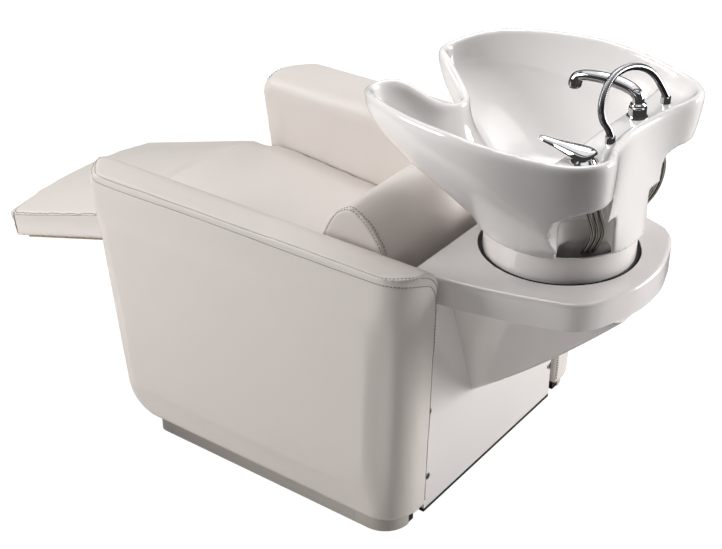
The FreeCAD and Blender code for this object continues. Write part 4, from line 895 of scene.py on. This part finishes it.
class MakeStage(bpy.types.Operator):
    """Set up the pale floor, the white surroundings and the soft lamps"""
    bl_idname = "wash_bed.stage"
    bl_label = "Stage"

    def execute(self, context):
        self.surroundings(context)
        self.floor()
        for described in LAMPS:
            lamp(*described)
        context.scene.view_settings.view_transform = "Standard"
        return {"FINISHED"}

    def surroundings(self, context):
        world = bpy.data.worlds.new("surroundings")
        world.use_nodes = True
        tree = world.node_tree
        tree.nodes.clear()
        seen, path = seen_rays(tree)
        way = add(tree, "ShaderNodeTexCoord").outputs["Generated"]
        height = add(tree, "ShaderNodeSeparateXYZ", {0: way}).outputs["Z"]
        toward = add(tree, "ShaderNodeVectorMath", {0: way, 1: DARK_SIDE}, operation="DOT_PRODUCT")
        soft = spread(tree, toward.outputs["Value"], LIGHT_AWAY, LIGHT_DARK, -0.6, 0.5)
        bands = add(tree, "ShaderNodeValToRGB", {"Fac": spread(tree, height, 0.0, 1.0)})
        ramp = bands.color_ramp
        for place, tone in MIRROR_BANDS:
            ramp.elements.new(place).color = (tone, tone, tone, 1.0)
        for end, tone in ((0, MIRROR_BELOW), (-1, MIRROR_ABOVE)):
            ramp.elements[end].color = (tone, tone, tone, 1.0)
        view = mixed(tree, path["Is Camera Ray"], bands.outputs[0], WHITE)
        shown = add(tree, "ShaderNodeBackground", {"Color": view, "Strength": 1.0})
        light = add(tree, "ShaderNodeBackground", {"Color": LIGHT_TONE, "Strength": soft})
        blended_output(tree, seen, light, shown, "ShaderNodeOutputWorld")
        context.scene.world = world

    def floor(self):
        mesh = bpy.data.meshes.new("floor")
        corners = [(x * FLOOR_REACH, y * FLOOR_REACH, 0)
                   for x, y in ((-1, -1), (1, -1), (1, 1), (-1, 1))]
        mesh.from_pydata(corners, [], [(0, 1, 2, 3)])
        made = linked("floor", mesh)
        made.location.z = -FLOOR_DROP
        paint = bpy.data.materials.new("floor_paint")
        paint.use_nodes = True
        tree = paint.node_tree
        tree.nodes.clear()
        seen, path = seen_rays(tree)
        matt = add(tree, "ShaderNodeBsdfDiffuse", {"Color": FLOOR_TONE})
        bright = spread(tree, path["Is Camera Ray"], FLOOR_MIRRORED, FLOOR_SHOWN)
        glow = add(tree, "ShaderNodeEmission", {"Color": WHITE, "Strength": bright})
        most = calculated(tree, seen, FLOOR_GLOW, "MULTIPLY")
        share = calculated(tree, most, path["Is Glossy Ray"], "MAXIMUM")
        blended_output(tree, share, matt, glow, "ShaderNodeOutputMaterial")
        mesh.materials.append(paint)


class FinishHardParts(bpy.types.Operator):
    """Give every rigid piece its finish"""
    bl_idname = "wash_bed.hard_parts"
    bl_label = "Rigid pieces"

    def execute(self, context):
        slots = {part["node"]: part["material_slot"] for part in frame["record"]["subparts"]}
        for name, piece in frame["nodes"].items():
            made = finishes()[slots[name]]
            if not piece.material_slots:
                piece.data.materials.append(made)
            for place in piece.material_slots:
                place.material = made
        return {"FINISHED"}


class GlazeBowl(bpy.types.Operator):
    """Give the basin the soft edges and the even skin of a glaze"""
    bl_idname = "wash_bed.bowl"
    bl_label = "Basin"

    def execute(self, context):
        form = node_form(["bowl"])
        for mirror in (1, -1):
            self.foot(form, mirror)
        piece = relaxed(remeshed("bowl_glaze", form, sizes().glaze), 6)
        self.shades(piece)
        piece.visible_glossy = False
        dress(piece, "ceramic")
        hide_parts("bowl")
        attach(piece, "basin")
        return {"FINISHED"}

    def shades(self, piece):
        """Where the glaze lies in shade, and where the hollow's walls light each other."""
        points = coordinates(piece.data)
        normals = normals_of(piece.data).astype(float)
        facing = normals @ np.array(Vector(SHADE_WAY).normalized())
        outward = points - np.array((0.0, DATUM + BOWL_Y, 0.0))
        outward[:, 2] = 0.0
        outward /= np.maximum(np.linalg.norm(outward, axis=1), 1e-6)[:, None]
        inward = -np.sum(normals * outward, axis=1) + 0.8 * np.maximum(normals[:, 2], 0.0)
        inner = eased(inward, 0.1, 0.7) * eased(points[:, 2], BOWL_FLOOR, BOWL_LIGHT)
        shade = eased(facing, 0.58, 1.0) * (1.0 - inner)
        inner *= 1.0 - 0.95 * eased(normals[:, 0], 0.0, 0.7)
        for name, values in (("shade", shade), ("inner", inner)):
            piece.data.attributes.new(name, "FLOAT", "POINT").data.foreach_set("value", values)

    def foot(self, form, mirror):
        """Curved wall behind the hoses that carries the alcove down into the collar."""
        rings = []
        for i in range(FOOT_STEPS + 1):
            angle = math.radians(FOOT_START + FOOT_SWEEP * i / FOOT_STEPS)
            ring = []
            for reach, height in FOOT_SECTION:
                ring.append(form.verts.new((mirror * reach * math.cos(angle),
                                            DATUM + COLLAR_Y + reach * math.sin(angle), height)))
            rings.append(ring)
        faces = [form.faces.new(rings[0]), form.faces.new(reversed(rings[-1]))]
        corners = len(FOOT_SECTION)
        for first, second in zip(rings, rings[1:]):
            for k in range(corners):
                n = (k + 1) % corners
                faces.append(form.faces.new((first[k], second[k], second[n], first[n])))
        bmesh.ops.recalc_face_normals(form, faces=faces)


class FinishShelf(bpy.types.Operator):
    """Draw the shelf's opening close round the collar, over a glossy black ring"""
    bl_idname = "wash_bed.shelf"
    bl_label = "Shelf opening"

    def execute(self, context):
        mesh = frame["nodes"]["shelf"].data.copy()
        points = coordinates(mesh)
        centre = np.array((0.0, DATUM + COLLAR_Y))
        away = points[:, :2] - centre
        reach = np.linalg.norm(away, axis=1)
        rim = np.abs(reach - SHELF_HOLE) < RIM_REACH
        points[rim, :2] = centre + away[rim] * (SHELF_LIP / reach[rim])[:, None]
        set_coordinates(mesh, points)
        piece = new_object("shelf_top", mesh, "moulding")
        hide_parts("shelf")
        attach(piece, "base")
        self.seal()
        return {"FINISHED"}

    def seal(self):
        points = []
        for i in range(SEAL_STEPS):
            angle = 2 * math.pi * i / SEAL_STEPS
            for reach, height in SEAL_SECTION:
                points.append((reach * math.cos(angle), DATUM + COLLAR_Y + reach * math.sin(angle),
                               height))
        faces = []
        step = len(SEAL_SECTION)
        for i in range(SEAL_STEPS):
            first, second = i * step, (i + 1) % SEAL_STEPS * step
            for k in range(step):
                n = (k + 1) % step
                faces.append((first + k, second + k, second + n, first + n))
        mesh = bpy.data.meshes.new("gap_ring")
        mesh.from_pydata(points, [], faces)
        piece = new_object("gap_ring", mesh, "rubber")
        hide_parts("gap_seal")
        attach(piece, "base")


class MakeHandShower(bpy.types.Operator):
    """Give the hand shower its full, curved handle"""
    bl_idname = "wash_bed.hand_shower"
    bl_label = "Hand shower"

    def execute(self, context):
        line = even_steps(hose_line(metres(HANDLE_ROUTE), "handle_line"), HANDLE_STEP)[0]
        piece = tube("hand_shower_body", line, 40,
                     lambda i, angle: self.radius(line[i].z, i, len(line)), "chrome")
        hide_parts("hand_shower")
        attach(piece, "hand_shower")
        return {"FINISHED"}

    def radius(self, height, i, count):
        """Ribbed hose, shank, a raised ring, then a handle that thins towards its head."""
        share = i / count
        if share < UPRIGHT_SHARE and height < HOSE_TOP:
            return HOSE_RADIUS + HOSE_RIB * (i % 2)
        if share < UPRIGHT_SHARE and height < SHANK_TOP:
            return SHANK_RADIUS
        if share < UPRIGHT_SHARE and height < RING_TOP:
            return RING_RADIUS
        return float(np.interp(share, HANDLE_SHARES, HANDLE_RADII))


class CoverArms(bpy.types.Operator):
    """Upholster both arms with their double top-stitching"""
    bl_idname = "wash_bed.arms"
    bl_label = "Arms"

    def execute(self, context):
        for side, mirror in (("right", 1), ("left", -1)):
            self.cover(side, mirror)
        return {"FINISHED"}

    def cover(self, side, mirror):
        node = "arm_pad_" + side
        piece = relaxed(remeshed("arm_cover_" + side, node_form([node]), sizes().voxel), 2)
        rows = [metres(ARM_OUTER_ROW, mirror), metres(ARM_INNER_ROW, mirror)]
        points = coordinates(piece.data)
        outer = eased(points[:, 0] * mirror, *ARM_OUTER_BAND)
        upper = eased(points[:, 2], *ARM_UPPER_BAND)
        front = eased(DATUM - points[:, 1], *ARM_FRONT_BAND)
        free = np.maximum(np.maximum(outer, upper), front)
        free *= eased(distance_to(points, spline(rows[0])), *ARM_SEAM_BAND)
        free *= eased(points[:, 2], *ARM_FLOOR_BAND)
        piece = inflated(piece, free, sizes().rise)
        surface = surface_of(piece)
        laid = [laid_on(surface, row) for row in rows]
        both = laid[0] + laid[1]
        piece = refined(piece, both, SEAM_REACH)
        piece = pressed(piece, both, sizes().seam_depth, sizes().seam_width)
        dress(piece, "upholstery")
        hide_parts(node)
        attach(piece, "base")
        surface = surface_of(piece)
        stitched("arm_stitches_" + side, [laid_on(surface, row, THREAD_LIFT) for row in rows],
                 "base")


class CoverSeat(bpy.types.Operator):
    """Upholster the seat and the leg rest with one cover that runs over the hinge"""
    bl_idname = "wash_bed.seat"
    bl_label = "Seat and leg rest"

    def execute(self, context):
        form = node_form(["seat_cushion", "leg_rest_cushion"])
        self.bridge(form)
        piece = remeshed("seat_cover", form, sizes().voxel)
        points = coordinates(piece.data)
        joint = np.exp(-((points[:, 1] - DATUM + JOINT_Y) / JOINT_REACH) ** 2)
        piece = relaxed(self.relaxed_joint(piece, joint), 2)
        points = coordinates(piece.data)
        seam = spline(metres(LEG_TOP_SEAM))
        free = eased(normals_of(piece.data)[:, 2], *SEAT_UP_BAND)
        free = free * eased(distance_to(points, seam), *SEAT_SEAM_BAND)
        free *= eased(np.abs(np.abs(points[:, 0]) - SEAT_SIDE), *SEAT_SIDE_BAND)
        piece = inflated(piece, free, sizes().rise)
        surface = surface_of(piece)
        seams = [metres(LEG_TOP_SEAM), metres(LEG_CORNER_SEAM), metres(LEG_CORNER_SEAM, -1)]
        every = [place for row in seams for place in laid_on(surface, row)]
        piece = refined(piece, every, SEAM_REACH)
        piece = pressed(piece, every, LEG_SEAM_DEPTH, LEG_SEAM_WIDTH)
        dress(piece, "upholstery")
        surface = surface_of(piece)
        lower = metres([(x, y, z - LEG_ROW_DROP) for x, y, z in LEG_TOP_SEAM])
        # dark cords painted along the seams as their shadow lines, and a stitched row below the top seam
        seam_shadow_lined("leg_seam_shadow_lines", [laid_on(surface, row, THREAD_LIFT) for row in seams], "leg_rest",
                   LEG_SEAM_SHADOW_RADIUS)
        stitched("leg_stitches", [laid_on(surface, lower, THREAD_LIFT)], "leg_rest")
        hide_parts("seat_cushion", "leg_rest_cushion")
        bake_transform(piece)
        return {"FINISHED"}

    def bridge(self, form):
        """A crowned block that closes the cover over the hinge."""
        rows = []
        for end in BRIDGE_ENDS:
            y = DATUM - end
            ring = []
            for i in range(BRIDGE_STEPS + 1):
                x = -BRIDGE_HALF + 2 * BRIDGE_HALF * i / BRIDGE_STEPS
                crown = BRIDGE_CROWN * (1 - (x / BRIDGE_ROUND) ** 2)
                ring.append(form.verts.new((x, y, BRIDGE_TOP + crown)))
            ring.append(form.verts.new((BRIDGE_HALF, y, BRIDGE_BASE)))
            ring.append(form.verts.new((-BRIDGE_HALF, y, BRIDGE_BASE)))
            rows.append(ring)
        count = len(rows[0])
        for k in range(count):
            n = (k + 1) % count
            form.faces.new((rows[0][k], rows[0][n], rows[1][n], rows[1][k]))
        form.faces.new(reversed(rows[0]))
        form.faces.new(rows[1])
        bmesh.ops.recalc_face_normals(form, faces=form.faces)

    def relaxed_joint(self, piece, weight):
        group = piece.vertex_groups.new(name="joint")
        for i, share in enumerate(weight):
            if share > 0.02:
                group.add([i], float(share), "REPLACE")
        smooth = piece.modifiers.new("joint", "SMOOTH")
        smooth.factor = 0.8
        smooth.iterations = 40
        smooth.vertex_group = "joint"
        piece = applied(piece)
        piece.vertex_groups.clear()
        return piece


class CoverBackrest(bpy.types.Operator):
    """Upholster the backrest and its rolled head"""
    bl_idname = "wash_bed.backrest"
    bl_label = "Backrest"

    def execute(self, context):
        form = node_form(["backrest_cushion"])
        piece = relaxed(remeshed("backrest_cover", form, sizes().voxel), 2)
        points = coordinates(piece.data)
        rows = [metres(row, mirror) for mirror in (1, -1) for row in (BACK_CAP_ROW, BACK_ROLL_ROW)]
        every = [place for row in rows for place in spline(row)]
        free = eased(distance_to(points, every), *BACK_SEAM_BAND)
        free *= (eased(points[:, 2], *BACK_FLOOR_BAND)
                 * eased(BACK_SIDE - np.abs(points[:, 0]), *BACK_SIDE_BAND))
        piece = inflated(piece, free, sizes().rise)
        surface = surface_of(piece)
        every = [place for row in rows for place in laid_on(surface, row)]
        piece = refined(piece, every, SEAM_REACH)
        piece = pressed(piece, every, sizes().seam_depth, sizes().seam_width)
        dress(piece, "upholstery")
        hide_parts("backrest_cushion")
        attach(piece, "base")
        surface = surface_of(piece)
        stitched("backrest_stitches", [laid_on(surface, row, THREAD_LIFT) for row in rows], "base")
        return {"FINISHED"}


class MakeShowerHose(bpy.types.Operator):
    """Run the ribbed metal hose in its loop between the two ferrules"""
    bl_idname = "wash_bed.shower_hose"
    bl_label = "Shower hose"

    def execute(self, context):
        step = sizes().rib_pitch / 4
        line, whole = even_steps(hose_line(metres(LOOP_ROUTE), "loop_line"), step)
        piece = tube("shower_hose_cover", line, 18,
                     lambda i, angle: LOOP_RADIUS + LOOP_SWELL[i % 4], "hose_steel")
        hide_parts("shower_hose")
        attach(piece, "basin")
        return {"FINISHED"}


class MakeSupplyHoses(bpy.types.Operator):
    """Run the six braided supply hoses down the back of the basin"""
    bl_idname = "wash_bed.supply_hoses"
    bl_label = "Supply hoses"

    def execute(self, context):
        for side, mirror in (("right", 1), ("left", -1)):
            for i in range(3):
                shift = (i - 1) * SUPPLY_GAP
                route = [(x + SUPPLY_SPREAD[0] * shift, y + SUPPLY_SPREAD[1] * shift, z)
                         for x, y, z in SUPPLY_ROUTE]
                self.hose(side, i + 1, metres(route, mirror))
        return {"FINISHED"}

    def hose(self, side, number, route):
        name = f"supply_hose_{side}_{number}"
        line, whole = even_steps(hose_line(route, name + "_line"), BRAID_STEP)
        piece = tube(name, line, 36, self.radius, "braid", self.weave)
        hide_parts("supply_hoses_" + side)
        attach(piece, "basin")

    def weave(self, i, angle):
        """One on top of a wire, zero in the gap between wires."""
        turn = i * BRAID_STEP / BRAID_LAY * 2 * math.pi
        over = abs(math.sin(WIRE_PAIRS * angle + turn))
        under = 0.6 * abs(math.sin(WIRE_PAIRS * angle - CROSS_TURNS * turn)) ** 10
        return max(over, under) ** 4

    def radius(self, i, angle):
        return BRAID_RADIUS + BRAID_RISE * self.weave(i, angle)


class WashBedPanel(bpy.types.Panel):
    """The pieces of the washing bed, with their sizes and colours"""
    bl_idname = "VIEW3D_PT_wash_bed"
    bl_label = "Washing bed"
    bl_space_type = "VIEW_3D"
    bl_region_type = "UI"
    bl_category = "Washing bed"

    def draw(self, context):
        for made in MAKERS:
            self.layout.operator(made.bl_idname)
        for group in (context.scene.wash_bed_sizes, context.scene.wash_bed_colours):
            box = self.layout.box()
            for name in group.__class__.__annotations__:
                box.prop(group, name)


MAKERS = [MakeCamera, MakeShowerHose, MakeSupplyHoses, FinishHardParts, GlazeBowl, FinishShelf,
          MakeHandShower, CoverArms, CoverSeat, CoverBackrest, MakeStage]
CLASSES = [WashBedColours, WashBedSizes, *MAKERS, WashBedPanel]


def register():
    for made in CLASSES:
        bpy.utils.register_class(made)
    bpy.types.Scene.wash_bed_colours = bpy.props.PointerProperty(type=WashBedColours)
    bpy.types.Scene.wash_bed_sizes = bpy.props.PointerProperty(type=WashBedSizes)


def unregister():
    del bpy.types.Scene.wash_bed_sizes
    del bpy.types.Scene.wash_bed_colours
    for made in reversed(CLASSES):
        bpy.utils.unregister_class(made)


def main():
    register()
    bpy.ops.wash_bed.camera()
    bpy.ops.wash_bed.shower_hose()
    bpy.ops.wash_bed.supply_hoses()
    bpy.ops.wash_bed.hard_parts()
    bpy.ops.wash_bed.bowl()
    bpy.ops.wash_bed.shelf()
    bpy.ops.wash_bed.hand_shower()
    bpy.ops.wash_bed.arms()
    bpy.ops.wash_bed.seat()
    bpy.ops.wash_bed.backrest()
    bpy.ops.wash_bed.stage()


if __name__ == "__main__":
    main()
